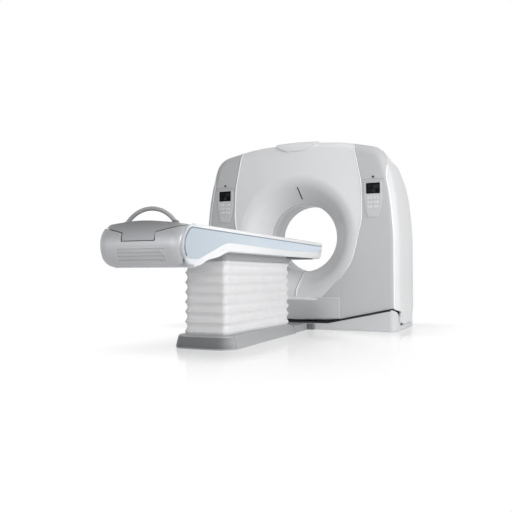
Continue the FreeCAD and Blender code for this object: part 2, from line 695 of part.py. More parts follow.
middle_shell = cover_shell.common(middle_zone)
top_split = value("gantry_crown") - value("shoulder_radius")
top_cover = solid_piece("top_cover", middle_shell.common(
    block((-FAR, -FAR, top_split + gap), (FAR, FAR, FAR))))
side_band = block((-FAR, -FAR, -FAR), (FAR, FAR, top_split))


def side_skin(side):
    """A side cover: the moulded side, and a skirt inside the circle that tilting sweeps."""
    low, high = sorted((0, side * FAR))
    skin = middle_shell.common(side_band).common(block((low, -FAR, -FAR), (high, FAR, FAR)))
    outside = side * value("gantry_half_width")
    thick = value("cover_wall")
    top = lower_corners()[-1][1] + value("skirt_lap")
    bottom = value("skirt_bottom")
    half = value("skirt_half")
    wide = half + value("skirt_slope")
    corners = [(-wide, top, 0), (-half, bottom, value("skirt_radius")),
               (half, bottom, value("skirt_radius")), (wide, top, 0)]
    face = rounded_polygon(corners, side_view(min(outside, outside - side * thick)))
    return skin.fuse(face.extrude(X_AXIS * thick)).removeSplitter()


left_side_cover = solid_piece("left_side_cover", side_skin(-1))
right_side_cover = solid_piece("right_side_cover", side_skin(1))

rear_shell = cover_shell.common(rear_zone).cut(bore_plug(value("rear_rim_radius")))
rear_cover = solid_piece("rear_cover", rear_shell.fuse(funnel_skin(False)).removeSplitter())

proud = value("cap_thickness")
crown_now = value("gantry_crown")
cap_half = value("cap_half_width")
cap_corners = [(value("cap_tab_half_width"), crown_now - value("cap_tab_drop"),
                value("cap_tab_radius")),
               (cap_half, crown_now - value("cap_drop"), value("cap_corner_radius")),
               (cap_half, crown_now + OVERREACH, 0)]
cap_prism = rounded_polygon(both_sides(cap_corners), front_view(-FAR)).extrude(
    Y_AXIS * (FAR - value("cap_reach")))
top_cap = solid_piece("top_cap", gantry_form(-proud).cut(gantry_form(-gap)).common(cap_prism))

# The bore: a thin liner between the two funnels, split by the window that the rays pass.
liner_outer = "bore_radius + liner_wall"
bore_liner = turned_ring("bore_liner", (
    ("-throat_front + cover_gap", "bore_radius"), ("throat_rear - cover_gap", "bore_radius"),
    ("throat_rear - cover_gap", liner_outer), ("window_width / 2", liner_outer),
    ("window_width / 2", "bore_radius + liner_wall / 2"),
    ("-window_width / 2", "bore_radius + liner_wall / 2"),
    ("-window_width / 2", liner_outer), ("-throat_front + cover_gap", liner_outer)))
scan_window = turned_ring("scan_window", (
    ("-window_width / 2 + cover_gap", "bore_radius + liner_wall / 2"),
    ("window_width / 2 - cover_gap", "bore_radius + liner_wall / 2"),
    ("window_width / 2 - cover_gap", liner_outer),
    ("-window_width / 2 + cover_gap", liner_outer)))

# ---------------------------------------------------------------- base of the gantry

# The columns and the tilt drive share the room between the tilting frame and the side covers.
side_room = "(gantry_half_width - cover_wall - column_inner)"
column_thick = f"column_share * {side_room}"
reducer_length = f"reducer_share * {side_room}"
motor_radius = f"motor_share * {side_room}"
column_outer = f"(column_inner + {column_thick})"
anchor_offset_x = "(base_half_width - anchor_inset)"

rail_outer = "base_half_width - base_wall - frame_inset"
rail_inner = "base_half_width - base_wall - frame_inset - rail_width"
rail_front = "-base_front + base_wall + frame_inset"
rail_rear = "base_rear - base_wall - frame_inset"
beam_front = "-base_front + base_wall + beam_inset"
beam_rear = "base_rear - base_wall - beam_inset"

frame_parts = []
for side, low_x, high_x in (("left", f"-({rail_outer})", f"-({rail_inner})"),
                            ("right", rail_inner, rail_outer)):
    rail = box(side + "_rail", (low_x, rail_front, "rail_bottom"), (high_x, rail_rear, "rail_top"))
    frame_parts.append(rail)
    plate_low = "column_inner" if side == "right" else f"-({rail_outer})"
    plate_high = rail_outer if side == "right" else "-column_inner"
    frame_parts.append(box(side + "_foot_plate",
                           (plate_low, "-column_foot_half", "rail_bottom"),
                           (plate_high, "column_foot_half", "rail_top")))
for end, low_y, high_y in (("front", beam_front, f"{beam_front} + beam_depth"),
                           ("rear", f"{beam_rear} - beam_depth", beam_rear)):
    frame_parts.append(box(end + "_beam", (f"-({rail_inner})", low_y, "rail_bottom"),
                           (rail_inner, high_y, "beam_top")))
base_weldment = fused("base_weldment", *frame_parts)
anchor_holes = []
for side in ("-", ""):
    for end in ("-", ""):
        anchor_holes.append(rod("anchor_hole_cut", "anchor_hole / 2", "rail_top + cut_margin",
                                (f"{side}{anchor_offset_x}", f"{end}anchor_offset_y", "0")))
gantry_base_frame = cut("gantry_base_frame", base_weldment, *anchor_holes)

feet = []
for side in ("-", ""):
    for end in ("-", ""):
        across, along = f"{side}{anchor_offset_x}", f"{end}anchor_offset_y"
        pad_disc = rod("levelling_pad", "foot_radius", "rail_bottom", (across, along, "0"))
        pad_bore = rod("levelling_pad_bore", "anchor_hole / 2", "rail_bottom + 2 * cut_margin",
                       (across, along, "-cut_margin"))
        feet.append(cut("levelling_foot", pad_disc, pad_bore))
levelling_feet = doc.addObject("Part::Compound", "levelling_feet")
levelling_feet.Links = feet


def base_cover(front):
    """A cover across one end of the base, wrapped round both corners."""
    half = value("base_half_width")
    wall = value("base_wall")
    sign = -1 if front else 1
    face_y = value("base_front") if front else value("base_rear")
    inner_end = sign * (face_y - value("base_wrap"))
    corner = value("base_corner_radius")
    low = value("base_floor_gap")
    high = value("lower_rise")

    def plan(inset, end, z):
        side = half - inset
        face = sign * (face_y - inset)
        return rounded_polygon([(side, end, 0), (side, face, corner - inset),
                                (-side, face, corner - inset), (-side, end, 0)], top_view(z))

    skin = plan(0, inner_end, low).extrude(Z_AXIS * (high - low))
    skin = skin.cut(plan(wall, inner_end - sign * OVERREACH, -FAR).extrude(Z_AXIS * 2 * FAR))
    # the top edge runs a steady gap below the tilting covers
    edge = [(x, z - value("tilt_gap"), 0) for x, z in lower_corners()]
    above = both_sides(edge + [(half + OVERREACH, edge[-1][1], 0), (half + OVERREACH, FAR, 0)])
    skin = skin.cut(rounded_polygon(above, front_view(-FAR)).extrude(Y_AXIS * 2 * FAR))
    # the wrapped ends fall away along the circle that the tilting covers sweep
    reach = max(value("gantry_front"), value("gantry_rear"))
    swept = math.hypot(reach, value("iso_height") - value("lower_rise")) + value("tilt_gap")
    return skin.cut(Part.makeCylinder(swept, 2 * FAR, Vector(-FAR, 0, value("iso_height")),
                                      X_AXIS))


base_front_cover = solid_piece("base_front_cover", base_cover(True))
base_rear_cover = solid_piece("base_rear_cover", base_cover(False))

# ---------------------------------------------------------------- columns and pivots


def column(side):
    """A box-section column with a round bearing housing on its top."""
    name = side + "_column"
    low = "column_inner" if side == "right" else f"-{column_outer}"
    body = new_body(name)
    post = sketch_on(body, "YZ_Plane", low)
    outline(post, (("-column_depth / 2", "rail_top"), ("column_depth / 2", "rail_top"),
                   ("column_depth / 2", "iso_height"), ("-column_depth / 2", "iso_height")))
    pad(body, post, column_thick)
    housing = sketch_on(body, "YZ_Plane", low)
    ring(housing, "0", "iso_height", "housing_radius")
    pad(body, housing, column_thick)
    seat = sketch_on(body, "YZ_Plane", low)
    ring(seat, "0", "iso_height", "pivot_bearing_radius")
    bore = pad(body, seat, column_thick, "PartDesign::Pocket")
    bore.Reversed = True
    return body


left_column = column("left")
right_column = column("right")

pivot_rings = []
for low in ("column_inner", f"-{column_outer}"):
    race = rod("pivot_race", "pivot_bearing_radius", column_thick, (low, "0", "iso_height"),
               X_AXIS)
    race_bore = rod("pivot_race_bore", "pivot_radius + running_gap",
                    f"{column_thick} + 2 * cut_margin",
                    (f"{low} - cut_margin", "0", "iso_height"),
                    X_AXIS)
    pivot_rings.append(cut("pivot_ring", race, race_bore))
trunnion_bearings = doc.addObject("Part::Compound", "trunnion_bearings")
trunnion_bearings.Links = pivot_rings

reducer = rod("tilt_reducer", "reducer_radius", reducer_length,
              (column_outer, "0", "iso_height"), X_AXIS)
motor_can = rod("tilt_motor_can", motor_radius, "motor_length",
                (f"{column_outer} + {reducer_length}", "0", "iso_height - motor_drop"))
tilt_gear_motor = fused("tilt_gear_motor", reducer, motor_can)

# ---------------------------------------------------------------- tilting frame

frame_rear = "frame_front + frame_thick"
ring_disc = turned_ring("ring_disc", (
    ("frame_front", "hub_radius + frame_bore_gap"), ("frame_front", "frame_radius"),
    (frame_rear, "frame_radius"), (frame_rear, "hub_radius + frame_bore_gap")))
frame_pieces = [ring_disc]


def side_box(side, name, inner, outer, low, high):
    """A block from x = inner to x = outer on one side; low and high are (y, z) pairs."""
    near, far = (inner, outer) if side == "right" else (f"-({outer})", f"-({inner})")
    return box(f"{side}_{name}", (near, *low), (far, *high))


for side in ("left", "right"):
    arm_outer = "column_inner - arm_column_gap"
    arm_low = "iso_height - arm_half_height"
    arm_high = "iso_height + arm_half_height"
    frame_pieces.append(side_box(side, "arm", "rotor_radius + arm_rotor_gap", arm_outer,
                                 ("-arm_front", arm_low), (frame_rear, arm_high)))
    frame_pieces.append(side_box(side, "arm_root", "rotor_radius - arm_lap", arm_outer,
                                 ("frame_front", arm_low), (frame_rear, arm_high)))
    pin_end = f"{column_outer} - pin_stop"
    pin_start = arm_outer if side == "right" else f"-({pin_end})"
    frame_pieces.append(rod(side + "_pivot_pin", "pivot_radius", f"{pin_end} - ({arm_outer})",
                            (pin_start, "0", "iso_height"), X_AXIS))
    for level in ("iso_height + bracket_offset", "iso_height - bracket_offset - bracket_tall"):
        frame_pieces.append(side_box(side, "cover_bracket", "bracket_inner",
                                     "bracket_inner + bracket_width", (frame_rear, level),
                                     ("gantry_rear - cover_wall - cover_gap",
                                      f"{level} + bracket_tall")))
tilt_frame = fused("tilt_frame", *frame_pieces)

bearing_outer_ring = turned_ring("bearing_outer_ring", (
    ("frame_front - bearing_width", "hub_radius + running_gap"),
    ("frame_front - bearing_width", "bearing_outer"), ("frame_front", "bearing_outer"),
    ("frame_front", "hub_radius + running_gap")))

# ---------------------------------------------------------------- rotor

plate_rear = "rotor_plate_front + rotor_plate"
rotor_wheel = turned_ring("rotor_wheel", (
    ("-rotor_front", "rotor_radius - rotor_rim"), ("-rotor_front", "rotor_radius"),
    (plate_rear, "rotor_radius"), (plate_rear, "hub_radius"),
    ("frame_front", "hub_radius"), ("frame_front", "hub_radius - hub_wall"),
    ("-hub_front", "hub_radius - hub_wall"), ("-hub_front", "hub_radius"),
    ("rotor_plate_front", "hub_radius"), ("rotor_plate_front", "rotor_radius - rotor_rim")))

slip_ring_inner = "bearing_outer + slip_ring_gap"
slip_ring = turned_ring("slip_ring", (
    (plate_rear, slip_ring_inner), (plate_rear, "slip_ring_outer"),
    (f"{plate_rear} + slip_ring_width", "slip_ring_outer"),
    (f"{plate_rear} + slip_ring_width", slip_ring_inner)))

tube_can = rod("tube_can", "tube_radius", "tube_length",
               ("0", "rotor_plate_front - tube_length", "iso_height + tube_orbit"), Y_AXIS)
tube_foot = box("tube_foot",
                ("-tube_foot_half", "rotor_plate_front - tube_foot_thick",
                 "iso_height + tube_orbit - tube_radius"),
                ("tube_foot_half", "rotor_plate_front", "iso_height + tube_orbit + tube_radius"))
xray_tube = fused("xray_tube", tube_can, tube_foot)

collimator_top = "iso_height + tube_orbit - tube_radius - collimator_gap"
beam_collimator = new_body("beam_collimator")
collimator_profile = sketch_on(beam_collimator, "XZ_Plane", "-rotor_plate_front")
outline(collimator_profile, mirrored_corners((
    ("collimator_low_half", f"{collimator_top} - collimator_height"),
    ("collimator_top_half", collimator_top))))
pad(beam_collimator, collimator_profile, "rotor_plate_front + collimator_front")


def arc_block(inner, outer, start_degrees, end_degrees, front, rear):
    """A curved block about the bore's axis between two radii and two angles."""
    iso = Vector(0, front, value("iso_height"))

    def at(radius, degrees):
        angle = math.radians(degrees)
        return iso + Vector(radius * math.cos(angle), 0, radius * math.sin(angle))

    middle = (start_degrees + end_degrees) / 2
    edges = [
        Part.Arc(at(inner, start_degrees), at(inner, middle), at(inner, end_degrees)).toShape(),
        Part.LineSegment(at(inner, end_degrees), at(outer, end_degrees)).toShape(),
        Part.Arc(at(outer, end_degrees), at(outer, middle), at(outer, start_degrees)).toShape(),
        Part.LineSegment(at(outer, start_degrees), at(inner, start_degrees)).toShape(),
    ]
    return Part.Face(Part.Wire(edges)).extrude(Y_AXIS * (rear - front))


rotor_face = value("rotor_plate_front")
half_arc = value("detector_half_angle")
detector_outer = value("detector_inner") + value("detector_depth")
detector_arc = solid_piece("detector_arc", arc_block(
    value("detector_inner"), detector_outer, 270 - half_arc, 270 + half_arc,
    -value("detector_front"), rotor_face))


def rotor_box(start_degrees, end_degrees):
    """A block that fills the rotor between its hub and its rim, from angle to angle from +X."""
    return arc_block(value("hub_radius") + value("box_hub_gap"),
                     value("rotor_radius") - value("rotor_rim") - value("box_rim_gap"),
                     start_degrees, end_degrees, -value("box_front"), rotor_face)


# The generator and the data unit face each other, and so do the cooler and the balance weight,
# which is cast in one with the wheel.
hv_generator = solid_piece("hv_generator", rotor_box(-22, 22))
data_unit = solid_piece("data_unit", rotor_box(158, 202))
tube_cooler = solid_piece("tube_cooler", rotor_box(120, 150))
balance_weight = solid_piece("balance_weight", rotor_box(300, 330))
rotor_drum = fused("rotor_drum", rotor_wheel, balance_weight)

# ---------------------------------------------------------------- control panels


def bezel(side):
    """The shield-shaped bezel of a control panel, with its window and its key holes."""
    sign = "-" if side == "left" else ""
    centre = f"{sign}panel_centre_x"
    body = new_body(side + "_bezel")
    face = sketch_on(body, "XZ_Plane", "gantry_front")
    shape = mirrored_corners((
        ("bezel_foot_half", "bezel_bottom"), ("bezel_waist_half", "bezel_waist"),
        ("bezel_half_width", "bezel_hip"), ("bezel_half_width", "bezel_top")))
    outline(face, [(f"{centre} + {x}", z) for x, z in shape])
    pad(body, face, "bezel_thick")
    openings = sketch_on(body, "XZ_Plane", "gantry_front")
    half_wide = "(display_width / 2 + cover_gap)"
    half_tall = "(display_tall / 2 + cover_gap)"
    outline(openings, [(f"{centre} - {half_wide}", f"display_height - {half_tall}"),
                       (f"{centre} + {half_wide}", f"display_height - {half_tall}"),
                       (f"{centre} + {half_wide}", f"display_height + {half_tall}"),
                       (f"{centre} - {half_wide}", f"display_height + {half_tall}")])
    for x, z in key_centres(sign):
        half_key = "(key_width / 2 + key_gap)"
        tall_key = "(key_tall / 2 + key_gap)"
        outline(openings, [(f"{x} - {half_key}", f"{z} - {tall_key}"),
                           (f"{x} + {half_key}", f"{z} - {tall_key}"),
                           (f"{x} + {half_key}", f"{z} + {tall_key}"),
                           (f"{x} - {half_key}", f"{z} + {tall_key}")])
    hole = pad(body, openings, "bezel_thick", "PartDesign::Pocket")
    hole.Reversed = True
    return body


def key_centres(sign):
    """The middle of each key of one panel, row by row, as (x, z) expressions."""
    return [(f"{sign}panel_centre_x {column} key_pitch_x / 2", f"key_top_row - {row} * key_pitch_z")
            for row in range(3) for column in ("-", "+")]


left_bezel = bezel("left")
right_bezel = bezel("right")

screens = []
for sign in ("-", ""):
    screens.append(box("screen", (f"{sign}panel_centre_x - display_width / 2",
                                  "-gantry_front - bezel_thick + display_recess",
                                  "display_height - display_tall / 2"),
                       (f"{sign}panel_centre_x + display_width / 2", "-gantry_front",
                        "display_height + display_tall / 2")))
gantry_displays = doc.addObject("Part::Compound", "gantry_displays")
gantry_displays.Links = screens

lamps = []
for sign in ("-", ""):
    lamps.append(rod("lamp", "lamp_radius", "lamp_proud",
                     (f"{sign}panel_centre_x", "-gantry_front - lamp_proud", "lamp_height"),
                     Y_AXIS))
indicator_lamps = doc.addObject("Part::Compound", "indicator_lamps")
indicator_lamps.Links = lamps


def key(name, x, z):
    """A push key with rounded corners, standing out of the bezel by its proud height."""
    body = new_body(name)
    face = sketch_on(body, "XZ_Plane", "gantry_front + key_travel + key_float")
    outline(face, [(f"{x} - key_width / 2", f"{z} - key_tall / 2"),
                   (f"{x} + key_width / 2", f"{z} - key_tall / 2"),
                   (f"{x} + key_width / 2", f"{z} + key_tall / 2"),
                   (f"{x} - key_width / 2", f"{z} + key_tall / 2")])
    pad(body, face, "bezel_thick + key_proud - key_travel - key_float")
    rounded_edges(body, "key_corner", runs_along(Y_AXIS))
    return body


keys = []
for side, sign in (("left", "-"), ("right", "")):
    for number, (x, z) in enumerate(key_centres(sign), start=1):
        keys.append(key(f"{side}_key_{number}", x, z))

# ---------------------------------------------------------------- couch, fixed parts


def rounded_block(half_width, foot, head, radius, z):
    """A level face with round corners, between two distances in front of the isocentre."""
    corners = [(half_width, -head, radius), (-half_width, -head, radius),
               (-half_width, -foot, radius), (half_width, -foot, radius)]
    return rounded_polygon(corners, top_view(z))


def couch_base():
    """The base plate: an upright kerb, and a skirt that leans in above it."""
    half = value("couch_base_half_width")
    foot = value("couch_base_foot")
    head = value("couch_base_head")
    radius = value("couch_base_radius")
    lean = value("skirt_lean")
    top = value("couch_base_height")
    kerb_top = value("kerb_height")
    kerb = rounded_block(half, foot, head, radius, 0).extrude(Z_AXIS * kerb_top)
    low = rounded_block(half, foot, head, radius, kerb_top).OuterWire
    high = rounded_block(half - lean, foot - lean, head + lean, radius - lean, top).OuterWire
    plate = kerb.fuse(Part.makeLoft([low, high], True, True)).removeSplitter()
    middle = -value("column_y")
    wide = value("lift_half_width")
    deep = value("lift_half_depth")
    plate = plate.cut(block((-wide, middle - deep, value("lift_floor")),
                            (wide, middle + deep, top + OVERREACH)))
    for side in (-1, 1):
        for distance in (value("couch_anchor_foot"), value("couch_anchor_head")):
            plate = plate.cut(Part.makeCylinder(
                value("anchor_hole") / 2, 2 * OVERREACH,
                Vector(side * value("couch_anchor_x"), -distance, -OVERREACH), Z_AXIS))
    return plate


couch_base_plate = solid_piece("couch_base_plate", couch_base())

floor_link_cover = new_body("floor_link_cover")
link_profile = sketch_on(floor_link_cover, "XZ_Plane", "base_front + cover_gap")
outline(link_profile, mirrored_corners((
    ("link_half_width", "0"), ("link_half_width", "link_height - link_bevel"),
    ("link_half_width - link_bevel", "link_height"))))
pad(floor_link_cover, link_profile, "couch_base_head - base_front - 2 * cover_gap")

link_socket = box("link_socket",
                  ("link_half_width + cover_gap", "-base_front - socket_depth", "0"),
                  ("link_half_width + socket_width", "-base_front - cover_gap", "link_height"))

# ---------------------------------------------------------------- lift


def lift_tube(name, step, bottom):
    """One stage of the telescopic column; each step is a smaller tube."""
    shrink = f"{step} * (lift_wall + lift_slide_gap)"
    half_x = f"(lift_half_width - cover_gap - {shrink})"
    half_y = f"(lift_half_depth - cover_gap - {shrink})"
    outside = box(name + "_outside", (f"-{half_x}", f"-column_y - {half_y}", bottom),
                  (half_x, f"-column_y + {half_y}", f"{bottom} + lift_stage"))
    bore = box(name + "_bore",
               (f"-{half_x} + lift_wall", f"-column_y - {half_y} + lift_wall", f"{bottom} - cut_margin"),
               (f"{half_x} - lift_wall", f"-column_y + {half_y} - lift_wall",
                f"{bottom} + lift_stage + cut_margin"))
    return cut(name, outside, bore)


carriage_under = "couch_under - carriage_height"
lift_column_outer = lift_tube("lift_column_outer", 0, "lift_floor")
lift_column_middle = lift_tube("lift_column_middle", 1, "lift_floor + lift_travel / 2")
lift_column_inner = lift_tube("lift_column_inner", 2, f"{carriage_under} - lift_stage")


# One pleat from valley to valley: share of its height, and share of its depth.
PLEAT = ((0.22, 0.75), (0.5, 0.0), (0.78, 0.75), (1.0, 1.0))


def bellows_form(grow):
    """The folded skin: sharp ridges with a shallow scallop between each two."""
    half = value("bellows_half_width") + grow
    foot = value("bellows_foot") + grow
    head = value("bellows_head") - grow
    radius = value("bellows_radius") + grow
    deep = value("pleat_depth")
    low = value("couch_base_height")
    high = value("couch_under") - value("carriage_height")
    count = int(round(value("pleat_count")))
    pitch = (high - low) / count
    levels = [(low, deep)]
    for index in range(count):
        levels += [(low + (index + up) * pitch, deep * share) for up, share in PLEAT]
    skins = [rounded_block(half - inset, foot - inset, head + inset, radius - inset, z).OuterWire
             for z, inset in levels]
    return Part.makeLoft(skins, True, True)


bellows = solid_piece("bellows", bellows_form(0).cut(bellows_form(-value("bellows_wall"))))

# ---------------------------------------------------------------- couch housing


def couch_side(inset):
    """The side view of the housing, moved in by inset: (y, z, radius) corners from the foot."""
    foot = -value("couch_foot")
    head = -value("couch_head")
    top = value("couch_top")
    under = value("couch_under") + inset
    low = value("couch_low") + inset
    bulge = foot - value("foot_bulge") + inset
    belly = foot + value("belly_length")
    return [
        (bulge, top - value("foot_bulge_drop"), value("foot_bulge_radius")),
        (bulge + value("belly_setback"), low, value("belly_radius") - inset),
        (belly, low, value("belly_turn_radius")),
        (foot + value("belly_rise"), under, value("belly_end_radius")),
        (head - value("nose_length"), under, value("nose_turn_radius")),
        (head - value("nose_setback") - inset, under + value("nose_rise"),
         value("nose_radius") - inset),
        (head + value("nose_forward") - inset, top - value("lip_height"), value("lip_radius")),
        (head - inset, top - inset, value("lip_radius") / 2),
        (foot + inset, top - inset, 0),
    ]


def channel_corners(clear_floor, clear_slope, top):
    """The section that the table top slides in, as (x, z, radius) corners."""
    floor = value("channel_floor") + clear_floor
    knee = value("channel_knee") + clear_slope
    edge = value("channel_edge") + clear_slope
    half = value("channel_half_width") - clear_slope
    wide = value("channel_edge_half_width") - clear_slope
    return both_sides([(half, floor, 0), (half, knee, 0), (wide, edge, 0), (wide, top, 0)])


couch_half = value("couch_half_width")
above_channel = value("couch_top") + OVERREACH


def long_prism(corners):
    """A section given as (x, z, radius) corners, drawn out along the whole couch."""
    return rounded_polygon(corners, front_view(-FAR)).extrude(Y_AXIS * FAR)


def side_prism(corners, half):
    """A side view given as (y, z, radius) corners, drawn out from x = -half to x = half."""
    return rounded_polygon(corners, side_view(-half)).extrude(X_AXIS * 2 * half)


channel = long_prism(channel_corners(0, 0, above_channel))


def inset_corners(grow):
    """The long recess in the side of the housing, as (y, z, radius) corners from the foot."""
    foot = -value("couch_foot")
    head = -value("couch_head")
    top = value("couch_top") - value("inset_band")
    slim = value("inset_slim") - grow
    tip = value("inset_head")
    return [
        (foot + value("inset_foot") - grow, value("inset_foot_height"),
         value("inset_foot_radius")),
        (foot + value("inset_low_run"), value("inset_low") - grow, value("inset_low_radius")),
        (foot + value("inset_rise_run"), slim, value("inset_rise_radius")),
        (head - value("inset_head_run"), slim, value("inset_turn_radius")),
        (head - tip + grow, top - value("inset_tip_drop"), value("inset_tip_radius")),
        (head - 2 * tip + grow, top + grow, value("inset_tip_radius")),
        (foot + tip - grow, top + grow, value("inset_low_radius")),
    ]


def side_pair(shape_at):
    """A form on the -X side and its twin on the +X side, each from shape_at(low_x)."""
    deep = value("inset_depth")
    return [shape_at(-couch_half), shape_at(couch_half - deep)]


def housing():
    """The moulded housing of the couch: open above for the table top, hollow below it."""
    body = side_prism(couch_side(0), couch_half)
    long_edges = [edge for edge in body.Edges if edge.BoundBox.XLength < 0.01]
    body = body.makeFillet(value("housing_edge_radius"), long_edges)
    body = body.cut(channel)
    skin = value("housing_wall")
    hollow = side_prism(couch_side(skin), couch_half - value("inset_depth") - skin)
    body = body.cut(hollow.cut(long_prism(channel_corners(-skin, -skin, above_channel))))
    for recess in side_pair(lambda x: rounded_polygon(inset_corners(0), side_view(x))
                            .extrude(X_AXIS * value("inset_depth"))):
        body = body.cut(recess)
    return body


couch_frame = solid_piece("couch_frame", housing())


def inset_panel(low_x):
    """A side panel: it fills its recess but for a gap round it, and lies a little below."""
    face = rounded_polygon(inset_corners(-value("inset_gap")), side_view(0))
    panel = face.extrude(X_AXIS * (value("inset_depth") - value("inset_recess")))
    panel.translate(X_AXIS * (low_x if low_x > 0 else low_x + value("inset_recess")))
    return panel


side_inset_panels = solid_piece("side_inset_panels", Part.Compound(side_pair(inset_panel)))


def foot_section():
    """The crowned section that the foot cover and the end cap share, as a long form."""
    half = couch_half - value("foot_cover_inset")
    low = value("couch_low") + value("foot_cover_inset")
    shoulder = value("couch_top") - value("foot_cover_inset")
    return long_prism(both_sides(
        [(half, low, value("foot_low_radius")), (half, shoulder, value("foot_top_radius"))],
        [(0, value("end_cap_crown"), value("end_cap_crown_radius"))]))


def foot_plan(face_y, inner_y):
    """The rounded plan of the foot end between its face and an inner line."""
    half = couch_half - value("foot_cover_inset")
    radius = value("foot_plan_radius")
    face = rounded_polygon([(half, inner_y, 0), (-half, inner_y, 0), (-half, face_y, radius),
                            (half, face_y, radius)], top_view(0))
    return face.extrude(Z_AXIS * FAR)


foot_face = -value("couch_foot") - value("foot_cover_length")


def foot_cover_form():
    """The barrel-like cover at the foot end, with the table top's channel and a grille."""
    cover = foot_section().common(foot_plan(foot_face, -value("couch_foot") + OVERREACH))
    cover = cover.cut(side_prism(couch_side(-gap), couch_half + OVERREACH)).cut(channel)
    cover = cover.cut(block((-FAR, -value("couch_foot"), value("couch_under")), (FAR, FAR, FAR)))
    left = -value("grille_left")
    right = value("grille_right")
    tall = value("groove_tall")
    for row in range(int(round(value("grille_rows")))):
        z = value("grille_bottom") + row * value("grille_pitch")
        ends = tall / 2 - 0.01
        groove = rounded_polygon([(left, z, ends), (right, z, ends), (right, z + tall, ends),
                                  (left, z + tall, ends)], front_view(foot_face - OVERREACH))
        cover = cover.cut(groove.extrude(Y_AXIS * (OVERREACH + value("groove_depth"))))
    return cover


foot_cover = solid_piece("foot_cover", foot_cover_form())

lower_carriage = new_body("lower_carriage")
carriage_profile = sketch_on(lower_carriage, "YZ_Plane", "-bellows_half_width - carriage_lip")
outline(carriage_profile, (
    ("-bellows_foot - carriage_lip", carriage_under),
    ("-bellows_head + carriage_lip", carriage_under),
    ("-bellows_head + carriage_head_reach", "couch_under - cover_gap"),
    ("-bellows_foot - carriage_foot_reach", "couch_under - cover_gap")))
pad(lower_carriage, carriage_profile, "2 * (bellows_half_width + carriage_lip)")

# ---------------------------------------------------------------- table top

# The board starts at the end cap; a sketch offset counts from the isocentre towards the foot.
board_end = "couch_foot + foot_cover_length - end_cap_recess - end_cap_length - cover_gap"
board_start = "couch_head - board_head_reach"
slope_run = "channel_edge_half_width - cradle_gap"
tabletop_board = new_body("tabletop_board")
board_profile = sketch_on(tabletop_board, "XZ_Plane", board_start)
board_knee = "channel_knee + cradle_gap"
board_edge = "channel_edge + cradle_gap"
outline(board_profile, mirrored_corners((
    ("channel_half_width - cradle_gap", board_knee),
    (slope_run, board_edge),
    (slope_run, f"{board_edge} + board_edge_thick"),
    ("channel_half_width + board_dish", f"{board_knee} + board_thick + cradle_gap"),
    ("channel_half_width - board_dish", f"{board_knee} + board_thick"))))
pad(tabletop_board, board_profile, f"{board_end} - ({board_start})")

tabletop_carriage = new_body("tabletop_carriage")
keel_start = "couch_head + keel_setback"
keel_profile = sketch_on(tabletop_carriage, "XZ_Plane", keel_start)
keel_half = "channel_half_width - slide_gap"
outline(keel_profile, mirrored_corners((
    (keel_half, "channel_floor + slide_gap"),
    (keel_half, f"{board_knee} - keel_bevel"),
    (f"{keel_half} - keel_bevel", board_knee))))
pad(tabletop_carriage, keel_profile, f"{board_end} - ({keel_start})")


def end_cap():
    """The cap on the foot end of the table top: it fills the channel up to the crown."""
    clear = value("slide_gap")
    inside = long_prism(channel_corners(clear, value("cradle_gap"), above_channel))
    face_y = foot_face + value("end_cap_recess")
    cap = foot_section().common(inside)
    return cap.common(foot_plan(face_y, face_y + value("end_cap_length")))


tabletop_end_cap = solid_piece("tabletop_end_cap", end_cap())


def handle():
    """The arched tube that the table top is pulled by, let into the end cap at both feet."""
    half = value("handle_half_span")
    crown = value("end_cap_crown")
    inset = value("foot_cover_inset")
    fall = (crown - value("couch_top") + inset) / (couch_half - inset)
    y = -value("handle_plane")
    root = crown - fall * half - value("handle_root")
    path = Part.Wire([Part.Arc(Vector(-half, y, root), Vector(0, y, crown + value("handle_rise")),
                               Vector(half, y, root)).toShape()])
    along = path.Edges[0].tangentAt(path.Edges[0].FirstParameter)
    section = Part.Wire([Part.Circle(Vector(-half, y, root), along,
                                     value("handle_radius")).toShape()])
    return path.makePipeShell([section], True, False).cut(tabletop_end_cap.Shape)


cradle_handle = solid_piece("cradle_handle", handle())

# ---------------------------------------------------------------- check and write

NODES = [
    gantry_base_frame, levelling_feet, left_column, right_column, trunnion_bearings,
    tilt_gear_motor, base_front_cover, base_rear_cover, tilt_frame, bearing_outer_ring,
    front_center_cover, lower_front_cover, left_front_panel, right_front_panel,
    left_side_cover, right_side_cover, top_cover, top_cap, rear_cover, bore_liner, scan_window,
    left_bezel, right_bezel, gantry_displays, indicator_lamps, *keys,
    rotor_drum, slip_ring, xray_tube, beam_collimator, detector_arc, hv_generator, data_unit,
    tube_cooler, couch_base_plate, floor_link_cover, link_socket, lift_column_outer,
    lift_column_middle, lift_column_inner, bellows, couch_frame, side_inset_panels, foot_cover,
    lower_carriage, tabletop_board, tabletop_carriage, tabletop_end_cap, cradle_handle,
]

doc.recompute()
for item in doc.Objects:
    if "Invalid" in item.State or "Error" in item.State:
        raise RuntimeError(f"{item.Label} failed: {item.State}")
for node in NODES:
    if node.Shape.isNull() or not node.Shape.isValid():
        raise RuntimeError(f"{node.Label} has no valid shape")

os.makedirs("parts", exist_ok=True)
for node in NODES:
    node.Shape.exportStep(f"parts/{node.Label}.step")
    print(f"{node.Label}: {len(node.Shape.Solids)} solid(s), {node.Shape.Volume / 1e6:.2f} litres")
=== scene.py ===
"""Finishes, seams, controls and bellows of a tilting ring scanner with its patient couch."""

import json
import math

import bmesh
import bpy
from bpy.props import FloatProperty, FloatVectorProperty, IntProperty, PointerProperty
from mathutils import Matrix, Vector
from mathutils.bvhtree import BVHTree


